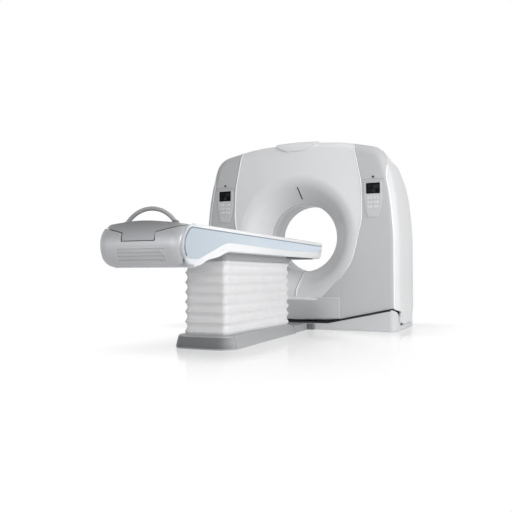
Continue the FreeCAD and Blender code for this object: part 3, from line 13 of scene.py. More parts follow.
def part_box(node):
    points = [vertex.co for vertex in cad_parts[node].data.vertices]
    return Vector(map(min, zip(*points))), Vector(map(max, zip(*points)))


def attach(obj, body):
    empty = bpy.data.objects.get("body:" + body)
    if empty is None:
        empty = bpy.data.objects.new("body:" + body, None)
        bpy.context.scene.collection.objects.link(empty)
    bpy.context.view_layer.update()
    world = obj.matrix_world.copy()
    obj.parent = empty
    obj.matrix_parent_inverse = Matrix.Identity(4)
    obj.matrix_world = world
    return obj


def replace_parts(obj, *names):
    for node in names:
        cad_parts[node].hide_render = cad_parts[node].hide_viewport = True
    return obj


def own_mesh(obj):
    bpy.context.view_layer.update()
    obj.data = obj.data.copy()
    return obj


bl_info = {
    "name": "Ring Scanner",
    "version": (1, 0, 0),
    "blender": (4, 5, 0),
    "location": "View3D > Sidebar > Scanner",
    "description": "Finishes, seams, controls and bellows of a tilting ring scanner",
    "category": "Object",
}

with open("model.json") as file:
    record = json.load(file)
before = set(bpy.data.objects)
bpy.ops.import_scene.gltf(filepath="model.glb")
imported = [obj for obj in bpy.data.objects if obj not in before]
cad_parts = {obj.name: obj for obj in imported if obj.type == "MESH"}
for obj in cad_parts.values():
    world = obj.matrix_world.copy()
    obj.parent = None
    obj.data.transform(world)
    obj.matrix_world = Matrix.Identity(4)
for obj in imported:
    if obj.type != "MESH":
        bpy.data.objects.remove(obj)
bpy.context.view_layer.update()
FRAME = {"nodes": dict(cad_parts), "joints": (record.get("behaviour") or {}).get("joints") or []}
NODES = FRAME["nodes"]

JOINTS = {joint["name"]: joint for joint in FRAME["joints"]}
# The height of the bore's axis, which is the tilt's axis too.
ISO = JOINTS["gantry_tilt"]["pos_m"][2]
X, Y, Z = Vector((1, 0, 0)), Vector((0, 1, 0)), Vector((0, 0, 1))
SIDES = (("left", -1), ("right", 1))


def linear(code):
    """An sRGB hex colour as linear numbers."""
    parts = [int(code[i:i + 2], 16) / 255 for i in (0, 2, 4)]
    return tuple(v / 12.92 if v <= 0.04045 else ((v + 0.055) / 1.055) ** 2.4 for v in parts)


# ---------------------------------------------------------------- settings


def size(name, default, description):
    """A length in metres that the sidebar shows."""
    return FloatProperty(name=name, description=description, default=default, min=0.0,
                         subtype="DISTANCE", unit="LENGTH", precision=4)


def power(name, default, description):
    """The power of a lamp in watts."""
    return FloatProperty(name=name, description=description, default=default, min=0.0,
                         unit="POWER")


def amount(name, default, description):
    """A share or a level without a unit."""
    return FloatProperty(name=name, description=description, default=default, min=0.0)


def colour(name, code, description):
    """A colour that starts from an sRGB hex value."""
    return FloatVectorProperty(name=name, description=description, default=linear(code),
                               subtype="COLOR", size=3, min=0.0, max=1.0)


class GantrySettings(bpy.types.PropertyGroup):
    """Sizes of the gantry's trim"""
    lip_width: size("Lip width", 0.014, "Width of the rounded lip along the centre cover's seam")
    lip_proud: size("Lip height", 0.0035, "How far that lip stands proud of the covers")
    joint_width: size("Joint width", 0.0035, "Width of the dark joint beside the lip")
    slit_width: size("Laser slit width", 0.014, "Width of the black laser window in the funnel")
    slit_low: size("Laser slit start", 0.399, "Radius at which the laser window starts")
    slit_high: size("Laser slit end", 0.523, "Radius at which the laser window ends")
    corner_turn: FloatProperty(name="Corner start", default=0.42, min=0.0, max=1.5,
                               subtype="ANGLE", unit="ROTATION", description="Where the white "
                               "corner starts on the front's rounding, from the front")
    # the dark strip behind the tilt gap paints the shade inside it
    gap_shade_height: size("Gap shade height", 0.034, "Height of the dark strip behind the tilt gap")


class ControlSettings(bpy.types.PropertyGroup):
    """Sizes of what is drawn on the control panels"""
    arc_width: size("Rib width", 0.006, "Width of the two curved ribs on a control panel")
    mark_width: size("Mark width", 0.0022, "Stroke width of the marks on the keys")
    frame_width: size("Display frame", 0.005, "Width of the black frame round a display")


class CouchSettings(bpy.types.PropertyGroup):
    """Sizes of the bellows and of the couch's trim"""
    pleats: IntProperty(name="Pleats", description="Number of pleats of the bellows", default=8,
                        min=3, max=16)
    pleat_depth: size("Pleat depth", 0.0195, "Depth of a pleat from its ridge to its valley")
    bellows_inset: size("Bellows inset", 0.028, "How far its sides lie inside the frame's box")
    cloth: size("Cloth thickness", 0.0025, "Thickness of the bellows cloth")
    groove_width: size("Groove width", 0.009, "Width of the dark groove round a side panel")


class ColourSettings(bpy.types.PropertyGroup):
    """Colours of the painted and moulded pieces"""
    cover_white: colour("Cover white", "E7E8E9", "Painted glass-fibre covers of the gantry")
    # a greyer copy of the cover white, as painted shade on the side and top covers
    side_white: colour("Side white", "DADBDC", "Painted side covers")
    panel_grey: colour("Panel grey", "C2C3C5", "Moulded front panels beside the centre cover")
    lower_grey: colour("Lower grey", "C9CACC", "Lower cover and base covers")
    couch_white: colour("Couch white", "EBECED", "Painted housing of the couch")
    # the side panels' blue at the foot end, where their painted shade is deepest
    inset_blue: colour("Inset blue", "B0BBC4", "Pale blue side panels of the couch")
    inset_pale: colour("Side panel head end", "DFEAF7", "Side panels' pale head end")
    silver: colour("Silver", "B8B9BC", "Silver painted foot cover")
    cloth_white: colour("Cloth white", "DCDCDD", "Coated bellows cloth")
    base_grey: colour("Base grey", "A1A2A4", "Painted base plate of the couch")
    cap_grey: colour("Cap grey", "9C9DA0", "Moulded end cap of the table top")


class StageSettings(bpy.types.PropertyGroup):
    """Levels of the studio's lights and of its floor"""
    side_power: power("Side light", 155.0, "Power of the large light at the right")
    front_power: power("Front light", 197.0, "Power of the light at the front right")
    fill_power: power("Fill light", 41.0, "Power of the large light at the front left")
    left_power: power("Left light", 4.0, "Power of the light at the far left")
    top_power: power("Top light", 42.0, "Power of the light overhead")
    ambient: amount("Ambient", 0.1, "Level of the even light from all round")
    horizon: amount("Horizon", 0.3, "Level of the light from low down all round")
    floor_gloss: amount("Floor gloss", 0.3, "How strongly the floor mirrors what stands on it")


GROUPS = {"gantry": GantrySettings, "controls": ControlSettings, "couch": CouchSettings,
          "colours": ColourSettings, "stage": StageSettings}


def settings(group):
    """The scene's settings of one group."""
    return getattr(bpy.context.scene, "scanner_" + group)


# ---------------------------------------------------------------- materials


def add(tree, kind, inputs=None, **options):
    """Adds a node with its inputs, as plain values or linked sockets, and its options."""
    made = tree.nodes.new(kind)
    for name, chosen in options.items():
        setattr(made, name, chosen)
    for name, given in (inputs or {}).items():
        if isinstance(given, bpy.types.NodeSocket):
            tree.links.new(given, made.inputs[name])
        else:
            made.inputs[name].default_value = given
    return made


def per_mm(millimetres):
    """The texture scale at which one pattern cell has that real size."""
    return 1000.0 / millimetres


def blank(name):
    """A new material with an empty tree, and the tree."""
    made = bpy.data.materials.new(name)
    made.use_nodes = True
    made.node_tree.nodes.clear()
    return made, made.node_tree


def coated(tree, inputs):
    """Puts a shader with those inputs on the material's surface."""
    shader = add(tree, "ShaderNodeBsdfPrincipled", inputs)
    add(tree, "ShaderNodeOutputMaterial", {"Surface": shader.outputs["BSDF"]})


def ramp(tree, share, stops):
    """A colour that runs through (place, colour) stops, at places from 0 to 1."""
    made = add(tree, "ShaderNodeValToRGB", {"Fac": share})
    marks = made.color_ramp.elements
    for _ in stops[2:]:
        marks.new(0.5)
    for mark, (place, tint) in zip(marks, stops):
        mark.position = place
        mark.color = (*tint, 1)
    return made.outputs["Color"]


def shades(tree, where, base, cell_mm, spread=0.02):
    """The base colour with a slow drift a little darker and lighter, as real paint has."""
    cloud = add(tree, "ShaderNodeTexNoise",
                {"Vector": where, "Scale": per_mm(cell_mm), "Detail": 3.0})
    dark, light = ([min(1, v * (1 + drift)) for v in base] for drift in (-spread, spread))
    return ramp(tree, cloud.outputs["Fac"], ((0.3, dark), (0.7, light)))


def faded(tree, where, axis, stops):
    """A colour that runs through (place, colour) stops along an axis, in metres."""
    first, last = stops[0][0], stops[-1][0]
    along = add(tree, "ShaderNodeSeparateXYZ", {"Vector": where})
    share = add(tree, "ShaderNodeMapRange",
                {"Value": along.outputs[axis], "From Min": first, "From Max": last})
    return ramp(tree, share.outputs["Result"],
                [((place - first) / (last - first), tint) for place, tint in stops])


def shaded(tint, stops):
    """Stops of (place, share) as stops of a colour that is that share of a tint."""
    return [(place, [v * share for v in tint]) for place, share in stops]


def painted(name, tone, rough=0.32, peel_mm=5.0, depth_mm=0.05, coat=0.25, metallic=0.0):
    """Sprayed paint: a soft gloss over a faint orange peel, and softly rounded edges.

    tone is a colour, or an axis and the stops of a fade along it."""
    made, tree = blank(name)
    where = add(tree, "ShaderNodeTexCoord").outputs["Object"]
    fades = isinstance(tone[0], str)
    tint = faded(tree, where, *tone) if fades else shades(tree, where, tone, 420, 0.012)
    rounded_edge = add(tree, "ShaderNodeBevel", {"Radius": 0.003}, samples=6)
    peel = add(tree, "ShaderNodeTexNoise",
               {"Vector": where, "Scale": per_mm(peel_mm), "Detail": 2.0})
    bump = add(tree, "ShaderNodeBump",
               {"Height": peel.outputs["Fac"], "Distance": depth_mm / 1000, "Strength": 0.35,
                "Normal": rounded_edge.outputs["Normal"]})
    # broad wipe marks, the width of a hand, that make the gloss uneven
    wipes = add(tree, "ShaderNodeTexNoise",
                {"Vector": where, "Scale": per_mm(160), "Detail": 5.0})
    gloss = add(tree, "ShaderNodeMapRange",
                {"Value": wipes.outputs["Fac"], "To Min": rough * 0.88, "To Max": rough * 1.12})
    coated(tree, {"Base Color": tint, "Roughness": gloss.outputs["Result"],
                  "Metallic": metallic, "Coat Weight": coat, "Coat Roughness": 0.12,
                  "Normal": bump.outputs["Normal"]})
    return made


def moulded(name, base, rough=0.5, grain_mm=1.6, depth_mm=0.08):
    """Moulded plastic: a fine spark-eroded grain that keeps highlights broad."""
    made, tree = blank(name)
    where = add(tree, "ShaderNodeTexCoord").outputs["Object"]
    rounded_edge = add(tree, "ShaderNodeBevel", {"Radius": 0.0012}, samples=4)
    grain = add(tree, "ShaderNodeTexVoronoi", {"Vector": where, "Scale": per_mm(grain_mm)})
    bump = add(tree, "ShaderNodeBump",
               {"Height": grain.outputs["Distance"], "Distance": depth_mm / 1000,
                "Strength": 0.3, "Normal": rounded_edge.outputs["Normal"]})
    coated(tree, {"Base Color": shades(tree, where, base, 90), "Roughness": rough,
                  "Normal": bump.outputs["Normal"]})
    return made


def metal(name, base, rough=0.34, stretch=(1.0, 1.0, 1.0), grain_mm=2.0, depth_mm=0.04):
    """Bare metal: the grain is drawn out along the way it was brushed, turned or cast."""
    made, tree = blank(name)
    where = add(tree, "ShaderNodeTexCoord").outputs["Object"]
    drawn = add(tree, "ShaderNodeMapping", {"Vector": where, "Scale": stretch})
    grain = add(tree, "ShaderNodeTexNoise",
                {"Vector": drawn.outputs["Vector"], "Scale": per_mm(grain_mm), "Detail": 4.0})
    bump = add(tree, "ShaderNodeBump",
               {"Height": grain.outputs["Fac"], "Distance": depth_mm / 1000, "Strength": 0.5})
    gloss = add(tree, "ShaderNodeMapRange",
                {"Value": grain.outputs["Fac"], "To Min": rough * 0.75, "To Max": rough * 1.3})
    coated(tree, {"Base Color": shades(tree, drawn.outputs["Vector"], base, 60, 0.05),
                  "Metallic": 1.0, "Roughness": gloss.outputs["Result"],
                  "Normal": bump.outputs["Normal"]})
    return made


def woven(name, base, thread_mm=3.0, depth_mm=0.12):
    """Coated cloth: crossed threads under a satin coat, drawn coarse enough to show."""
    made, tree = blank(name)
    where = add(tree, "ShaderNodeTexCoord").outputs["Object"]
    # a wave repeats every 2 pi cells
    rows = [add(tree, "ShaderNodeTexWave",
                {"Vector": where, "Scale": per_mm(thread_mm) / 6.3, "Distortion": 0.4},
                bands_direction=axis) for axis in ("X", "Y", "Z")]
    crossed = add(tree, "ShaderNodeMath",
                  {0: rows[0].outputs["Fac"], 1: rows[1].outputs["Fac"]}, operation="ADD")
    cloth = add(tree, "ShaderNodeMath", {0: crossed.outputs[0], 1: rows[2].outputs["Fac"]},
                operation="ADD")
    bump = add(tree, "ShaderNodeBump",
               {"Height": cloth.outputs[0], "Distance": depth_mm / 1000, "Strength": 0.4})
    coated(tree, {"Base Color": shades(tree, where, base, 70), "Roughness": 0.62,
                  "Sheen Weight": 0.15, "Sheen Roughness": 0.5,
                  "Normal": bump.outputs["Normal"]})
    return made


def glass(name, base, rough=0.08):
    """Dark display glass: near black, with a sharp gloss and faint finger smears."""
    made, tree = blank(name)
    where = add(tree, "ShaderNodeTexCoord").outputs["Object"]
    smears = add(tree, "ShaderNodeTexNoise",
                 {"Vector": where, "Scale": per_mm(25), "Detail": 6.0})
    gloss = add(tree, "ShaderNodeMapRange",
                {"Value": smears.outputs["Fac"], "To Min": rough * 0.6, "To Max": rough * 2.2})
    coated(tree, {"Base Color": shades(tree, where, base, 30, 0.1),
                  "Roughness": gloss.outputs["Result"], "IOR": 1.52,
                  "Specular IOR Level": 0.05})
    return made


# Painted light and shade on the foot end's silver, brightest over its swell and darker to both
# edges: the height in metres and the share of the setting's colour there. The end cap's
# painted shade deepens towards its top.
SILVER_PAINTED_LIGHT = ((0.600, 0.976), (0.680, 1.037), (0.738, 1.137), (0.790, 0.873), (0.845, 0.756))
CAP_PAINTED_SHADE = ((0.752, 1.255), (0.800, 1.101), (0.840, 0.866), (0.875, 0.652))


def make_finishes():
    """Every finish of the scanner, by the name of what it is made of."""
    tint = settings("colours")
    return {
        # sprayed two-pack paint on glass fibre: clean, with a soft wide highlight
        "glass_fibre_white": painted("Glass_fibre_satin_white", tint.cover_white, 0.34),
        # the same paint without its clear coat, in a greyer tone that paints shade on the large
        # sides, which show no lights' edges
        "glass_fibre_side": painted("Glass_fibre_side_white", tint.side_white, 0.42, coat=0.0),
        # painted mouldings, a shade greyer and duller than the covers
        "panel_grey": painted("Moulded_panel_satin_grey", tint.panel_grey, 0.42, coat=0.1),
        "lower_grey": painted("Moulded_skirt_satin_grey", tint.lower_grey, 0.42, coat=0.1),
        # a gloss white lip, whose rounding catches a thin bright line
        "lip_white": painted("Moulded_lip_gloss_white", linear("F4F5F5"), 0.3),
        # the bore liner is wiped down daily and stays smoother than the covers
        "liner": moulded("Bore_liner_polycarbonate", linear("D5D8DA"), 0.3, 2.4, 0.03),
        # a taut film over the ring's slot: greyer than the liner, with an even gloss
        "window": moulded("Ray_window_polyester_film", linear("85898C"), 0.35, 3.0, 0.02),
        # ABS from an eroded mould: its fine grain spreads every highlight
        "bezel": moulded("Bezel_ABS_fine_grain", linear("CDCFD1"), 0.5),
        # satin silicone: soft and nearly white, with printed marks in flat grey ink
        "key": moulded("Key_silicone_satin", linear("E6E7E8"), 0.45, 1.2, 0.03),
        "key_mark": moulded("Key_mark_grey_ink", linear("6C7074"), 0.6, 0.8, 0.01),
        # smoked glass: near black with a sharp gloss, its unlit figures just lighter
        "display": glass("Display_smoked_glass", linear("050608")),
        "display_mark": moulded("Display_segment_grey", linear("2E3236"), 0.25, 1.5, 0.0),
        # a smoked acrylic lens over an unlit lamp: dark, with one sharp highlight
        "lamp": glass("Lamp_lens_smoked_acrylic", linear("3A3F45"), 0.15),
        # stove enamel over weldments: mid grey with a coarse orange peel
        "welded_steel": painted("Welded_steel_stove_enamel", linear("8E9499"), 0.45, 2.5, 0.08),
        # turned steel: bright, with the cutting marks drawn out along the axis
        "machined_steel": metal("Machined_steel_turned", linear("A9ADB1"), 0.3,
                                (1.0, 0.06, 1.0), 1.5),
        # a blasted casting: pale and matt, with a coarse even grain
        "cast_aluminium": metal("Cast_aluminium_bead_blasted", linear("B7BBBF"), 0.45,
                                grain_mm=2.4, depth_mm=0.12),
        # hammer enamel: its dimples break up every reflection
        "tube_paint": painted("Tube_housing_hammer_enamel", linear("9DA3A8"), 0.35, 6.0, 0.2),
        # black anodised housing: dark, with a dull sheen
        "detector": moulded("Detector_housing_anodised_black", linear("2A2C2F"), 0.4),
        # powder coat on sheet steel: an even grey with a fine pebble
        "sheet_boxes": painted("Sheet_steel_powder_coat", linear("6F757B"), 0.5, 1.4, 0.08),
        # nitrile rubber: nearly black and without gloss
        "rubber": moulded("Levelling_pad_nitrile_rubber", linear("242527"), 0.75, 3.0, 0.15),
        # enamel on the base plate: a smooth mid grey that shines a little on its edge
        "base": painted("Base_plate_cast_enamel", tint.base_grey, 0.4, 4.0, 0.06, 0.15),
        # nylon of the socket: a dull grey
        "socket_grey": moulded("Socket_grey_nylon", linear("707275"), 0.5),
        # painted shade: a dark grey for the pan under the gantry and the rail under the couch's
        # nose, where only shade shows
        "shade_dark_grey": moulded("Socket_dark_nylon", linear("4C4F52"), 0.5),
        # coated polyester: white with a satin coat through which the threads just show
        "cloth": woven("Bellows_coated_polyester", tint.cloth_white),
        # gloss paint on the housing: clean white, with painted shade greying it towards the foot
        "couch_white": painted(
            "Couch_housing_gloss_white",
            ("Y", ((-3.235, linear("CDD1D6")), (-3.14, linear("D8DBDF")),
                   (-2.90, tint.couch_white))), 0.26, coat=0.4),
        # clear lacquer over pale blue: smooth, with painted shade that darkens it from the pale
        # head towards the foot
        "inset_blue": painted("Side_panel_pale_blue_lacquer",
                              ("Y", ((-3.1, tint.inset_blue), (-0.6, tint.inset_pale))),
                              0.30, coat=0.3),
        # metallic paint, with a painted highlight over the swell of the foot cover and painted
        # shade above and below it
        "silver": painted("Foot_cover_silver_metallic",
                          ("Z", shaded(tint.silver, SILVER_PAINTED_LIGHT)),
                          0.36, 3.0, 0.03, 0.3, metallic=0.35),
        # painted shade on the end cap's grey, deepening towards its top
        "cap": painted("End_cap_silver_grey", ("Z", shaded(tint.cap_grey, CAP_PAINTED_SHADE)),
                       0.38, 3.0, 0.03, 0.2, metallic=0.25),
        # grey nylon and soft rubber trim: a plain tone without gloss
        "collar": moulded("Handle_collar_grey_nylon", linear("77797C"), 0.5, 1.2),
        "rib_grey": moulded("Panel_rib_grey_TPE", linear("A0A2A5"), 0.5, 1.2),
        # painted shade round the toe: dark on the plate's foot face, fading into the plate's own
        # tone along the sides
        "toe_shade": painted("Toe_bumper_dark_TPE",
                          ("Y", ((-2.437, linear("6C6D70")), (-2.340, tint.base_grey))),
                          0.55, 1.2, coat=0.0),
        # powder coat with a fine pebble and no shine, in a grey that also paints the shade under
        # the housing's overhang
        "carriage": painted("Carriage_powder_coat_grey", linear("A6A8AA"), 0.5, 2.0, 0.05, 0.0),
        # the table top's laminate: pale and nearly smooth
        "cradle": moulded("Cradle_board_laminate", linear("C9CCCE"), 0.38, 4.0, 0.03),
        # the handle's silver nylon: an even satin with a narrow highlight
        "handle": painted("Handle_silver_nylon", linear("A9ABAD"), 0.34, 3.0, 0.02, 0.3),
        # ground tubes: bright steel with its grain along the tube
        "lift_steel": metal("Lift_tube_ground_steel", linear("9EA3A7"), 0.28,
                            (1.0, 1.0, 0.05), 1.2),
        # machine enamel: dark grey and dull
        "motor": painted("Gear_motor_grey_enamel", linear("5E6368"), 0.5, 2.0, 0.1),
        # sealants and seals: joints that read as thin grey or black lines; the black also paints
        # the shade inside the tilt gap
        "joint_shadow": moulded("Joint_grey_sealant", linear("85878A"), 0.6, 2.0, 0.03),
        "joint_dark": moulded("Joint_black_EPDM", linear("1D1E20"), 0.7, 2.0, 0.05),
        # painted shade: a grey that stands for the shade at the bottom of the groove round a
        # side panel; the lamps' surrounds take it too
        "groove_grey": moulded("Groove_shadow_grey", linear("7E8791"), 0.55, 2.0, 0.03),
    }


FINISH_NODES = {
    "glass_fibre_white": "front_center_cover rear_cover top_cap lower_front_cover",
    "glass_fibre_side": "top_cover left_side_cover right_side_cover",
    "panel_grey": "left_front_panel right_front_panel",
    "lower_grey": "base_front_cover base_rear_cover",
    "liner": "bore_liner", "window": "scan_window", "bezel": "left_bezel right_bezel",
    "display": "gantry_displays", "lamp": "indicator_lamps", "rubber": "levelling_feet",
    "welded_steel": "gantry_base_frame left_column right_column tilt_frame",
    "machined_steel": "trunnion_bearings bearing_outer_ring slip_ring beam_collimator "
                      "tabletop_carriage",
    "cast_aluminium": "rotor_drum", "tube_paint": "xray_tube", "detector": "detector_arc",
    "sheet_boxes": "hv_generator data_unit tube_cooler", "motor": "tilt_gear_motor",
    "base": "couch_base_plate floor_link_cover", "socket_grey": "link_socket",
    "lift_steel": "lift_column_outer lift_column_middle lift_column_inner",
    "cloth": "bellows", "couch_white": "couch_frame", "inset_blue": "side_inset_panels",
    "silver": "foot_cover", "carriage": "lower_carriage", "cradle": "tabletop_board",
    "cap": "tabletop_end_cap", "handle": "cradle_handle",
}
NODE_FINISH = {node: finish for finish, nodes in FINISH_NODES.items()
               for node in nodes.split()}
FINISHES = {}


# ---------------------------------------------------------------- building forms


def placed(name, mesh, finish, body, slot, smooth=True, crease=None):
    """An object for a mesh, with its finish and the body it rides on.

    crease is the angle in degrees from which an edge shows as a sharp one. slot is not used."""
    for face in mesh.polygons:
        face.use_smooth = smooth
    mesh.materials.append(FINISHES[finish])
    made = bpy.data.objects.new(name, mesh)
    bpy.context.scene.collection.objects.link(made)
    if crease:
        made.modifiers.new("Edges", "EDGE_SPLIT").split_angle = math.radians(crease)
    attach(made, body)
    return made


def piece(name, points, faces, finish, body, slot, smooth=True, crease=None):
    """A piece from points in metres and faces, which are turned outward."""
    mesh = bpy.data.meshes.new(name)
    mesh.from_pydata([tuple(point) for point in points], [], faces)
    shape = bmesh.new()
    shape.from_mesh(mesh)
    bmesh.ops.recalc_face_normals(shape, faces=shape.faces)
    shape.to_mesh(mesh)
    shape.free()
    return placed(name, mesh, finish, body, slot, smooth, crease)


def skin(rings, count, closed=False, capped=True):
    """The faces that join rings of points with equal counts, and close the ends."""
    faces = []
    for r in range(rings if closed else rings - 1):
        near, far = r * count, (r + 1) % rings * count
        faces += [(near + k, near + (k + 1) % count, far + (k + 1) % count, far + k)
                  for k in range(count)]
    if capped and not closed:
        faces += [tuple(end + k for k in range(count)) for end in (0, (rings - 1) * count)]
    return faces


def sweep(path, ups, section, closed=False):
    """A section of (across, up) points drawn along a path, as points and faces."""
    count, points = len(path), []
    for i, spot in enumerate(path):
        before = path[i - 1] if closed or i else spot
        after = path[(i + 1) % count] if closed or i < count - 1 else spot
        along = (after - before).normalized()
        across = along.cross(ups[i]).normalized()
        up = across.cross(along)
        points += [spot + across * u + up * v for u, v in section]
    return points, skin(count, len(section), closed)


def trim(name, path, ups, section, finish, body, slot, closed=False):
    """A trim piece drawn along a path on the surface."""
    points, faces = sweep(path, ups, section, closed)
    return piece(name, points, faces, finish, body, slot)


def lofted(name, rings, finish, body, slot, crease=30):
    """A closed piece through rings of points with equal counts."""
    points = [spot for ring in rings for spot in ring]
    return piece(name, points, skin(len(rings), len(rings[0])), finish, body, slot,
                 crease=crease)


def block(name, across, deep, tall, finish, body, slot):
    """A plain box between its two levels in x, in y and in z."""
    rings = [[Vector((x, y, z)) for x, y in
              ((across[0], deep[0]), (across[1], deep[0]), (across[1], deep[1]),
               (across[0], deep[1]))] for z in tall]
    return lofted(name, rings, finish, body, slot)


def prism(name, shapes, front, thick, finish, body, slot):
    """Flat shapes of (x, z) corners, drawn back from a level of y by their thickness."""
    points, faces = [], []
    for shape in shapes:
        start = len(points)
        points += [Vector((x, y, z)) for y in (front, front + thick) for x, z in shape]
        faces += [tuple(start + k for k in face) for face in skin(2, len(shape))]
    return piece(name, points, faces, finish, body, slot, smooth=False)


def bead(width, proud, sunk=0.002, steps=8):
    """A half-round section that stands proud, with its foot sunk into the surface."""
    arc = [(width / 2 * math.cos(math.pi * k / steps), proud * math.sin(math.pi * k / steps))
           for k in range(steps + 1)]
    return [(width / 2, -sunk), *arc, (-width / 2, -sunk)]


def strip(width, proud, sunk=0.002):
    """A flat section with small bevels."""
    edge = min(proud, width / 4)
    return [(width / 2, -sunk), (width / 2, proud - edge), (width / 2 - edge, proud),
            (-width / 2 + edge, proud), (-width / 2, proud - edge), (-width / 2, -sunk)]


def around(count):
    """Angles evenly spaced round a full turn."""
    return [2 * math.pi * k / count for k in range(count)]


def clamped(value, low, high):
    """How far a value has come from low to high, from 0 to 1."""
    return min(1.0, max(0.0, (value - low) / (high - low)))


def eased(value, low, high):
    """The same with a soft start and a soft end."""
    share = clamped(value, low, high)
    return share * share * (3 - 2 * share)


def rounded(corners, closed=True, step=0.012):
    """A 2-D outline with its corners rounded, from (a, b, radius) corners."""
    count = len(corners)
    line = []
    for i, (a, b, radius) in enumerate(corners):
        here = Vector((a, b))
        if not closed and i in (0, count - 1) or radius <= 0:
            line.append(here)
            continue
        back = (Vector(corners[i - 1][:2]) - here).normalized()
        ahead = (Vector(corners[(i + 1) % count][:2]) - here).normalized()
        half = math.acos(max(-1, min(1, back.dot(ahead)))) / 2
        run = radius / math.tan(half)
        centre = here + (back + ahead).normalized() * radius / math.sin(half)
        start, end = here + back * run - centre, here + ahead * run - centre
        turn = math.atan2(start.x * end.y - start.y * end.x, start.dot(end))
        pieces = max(3, int(abs(turn) * radius / step))
        for k in range(pieces + 1):
            angle = turn * k / pieces
            line.append(centre + Vector((start.x * math.cos(angle) - start.y * math.sin(angle),
                                         start.x * math.sin(angle) + start.y * math.cos(angle))))
    return spaced(line, closed, step)


def spaced(line, closed, step):
    """The same line with points about a step apart."""
    made = []
    ends = line + [line[0]] if closed else line
    for first, second in zip(ends, ends[1:]):
        parts = max(1, int((second - first).length / step))
        made += [first.lerp(second, k / parts) for k in range(parts)]
    return made if closed else made + [ends[-1]]


TREES = {}
# How far before a point its ray starts, in metres: outside of every cover.
RAY_START = 2.0


def tree_of(*names):
    """A search tree over the faces of some CAD nodes."""
    if names not in TREES:
        corners, faces = [], []
        for name in names:
            start = len(corners)
            mesh = NODES[name].data
            corners += [v.co.copy() for v in mesh.vertices]
            faces += [tuple(start + v for v in face.vertices) for face in mesh.polygons]
        TREES[names] = BVHTree.FromPolygons(corners, faces)
    return TREES[names]


def laid(points, direction, names):
    """Each point moved along a direction on to the named nodes, with the surface normal."""
    tree = tree_of(*names)
    path, ups = [], []
    for point in points:
        spot, normal, _, _ = tree.ray_cast(point - direction * RAY_START, direction)
        if spot is not None:
            path.append(spot)
            ups.append(-normal if normal.dot(direction) > 0 else normal)
    return path, ups


# ---------------------------------------------------------------- gantry trim

# Half of the centre cover's outline from the crown down to the ledge, as x, z and rounding.
SEAM_HALF = ((0.600, 1.914, 0.0), (0.690, ISO + 0.529, 0.7), (0.702, ISO + 0.179, 0.7),
             (0.592, ISO - 0.285, 0.40), (0.270, 0.312, 0.0))
# Half of the gantry's outline from the skirt to the crown, as x, z and rounding.
OUTLINE_HALF = ((1.055, 0.19, 0.0), (1.055, 0.95, 2.5), (1.020, 1.35, 2.5),
                (0.917, 1.802, 0.19), (0.440, 1.894, 1.8), (0.0, 1.914, 0.0))
FRONT_COVERS = ("front_center_cover", "left_front_panel", "right_front_panel",
                "lower_front_cover")
# The rounding between the front and the sides, and the y of the front's flat face.
EDGE_RADIUS, FRONT_LEVEL = 0.09, -0.42
# The seam is drawn in front of this y and above this z, with a fainter lip below the last z.
SEAM_BACK, SEAM_LOW, FAINT_LIP_TOP = -0.331, 0.318, 0.60
# The rim of the ledge under the centre cover, as x, z and rounding.
LEDGE_RIM = ((-0.30, 0.345, 0.0), (-0.24, 0.304, 0.12), (0.24, 0.304, 0.12),
             (0.30, 0.345, 0.0))
# The skirts: the edge they hang from, their lower edge in the middle, their wall, and how far
# from the tilt's axis they may reach without touching the floor.
SKIRT_TOP, SKIRT_LOW, SKIRT_WALL, SWING = 0.324, 0.0885, 0.0015, 0.932
# Each skirt's name, level, half width, where its sweep ends, lean, finish and slot.
SKIRTS = (("skirt_face", -0.4209, 0.464, 0.39, 0.20, "lower_grey", "panel_grey"),
          ("rear_skirt_face", 0.4415, 0.740, 0.68, 0.12, "glass_fibre_side", "white_cover"))
# The front corner's start runs out to the side between two heights, up to an angle from the
# front, and its lip ends at the last height.
SHOULDER_LOW, SHOULDER_HIGH, RUN_OUT, CORNER_LIP_TOP = 1.48, 1.79, 1.54, 1.63
# The side skirt's outline as y, z and rounding.
SIDE_SKIRT = ((-0.322, 0.196, 0.0), (-0.322, 0.088, 0.02), (-0.20, 0.066, 0.08),
              (0.10, 0.066, 0.0), (0.10, 0.196, 0.0))
LINER_RADIUS = 0.3602
# The joints round the bore liner, by the y they lie at.
BORE_JOINTS = (("bore_joint_front", -0.1455), ("bore_joint_rear", 0.1905),
               ("bore_window_joint_front", -0.031), ("bore_window_joint_rear", 0.031))


def seam_path(outward):
    """Both halves of the centre cover's seam on the covers' face, moved outward from it."""
    half = rounded([(x + outward, z, radius) for x, z, radius in SEAM_HALF], False, 0.01)
    for side, sign in SIDES:
        path, ups = laid([Vector((sign * q.x, 0, q.y)) for q in half], Y, FRONT_COVERS)
        kept = [k for k, spot in enumerate(path) if spot.y < SEAM_BACK and spot.z > SEAM_LOW]
        yield side, [path[k] for k in kept], [ups[k] for k in kept]


def rim_level(x):
    """The y of the ledge's rim, which stands proud in the middle and sinks at its ends."""
    return FRONT_LEVEL + 0.003 + 0.013 * max(0.0, (abs(x) - 0.08) / 0.2) ** 2


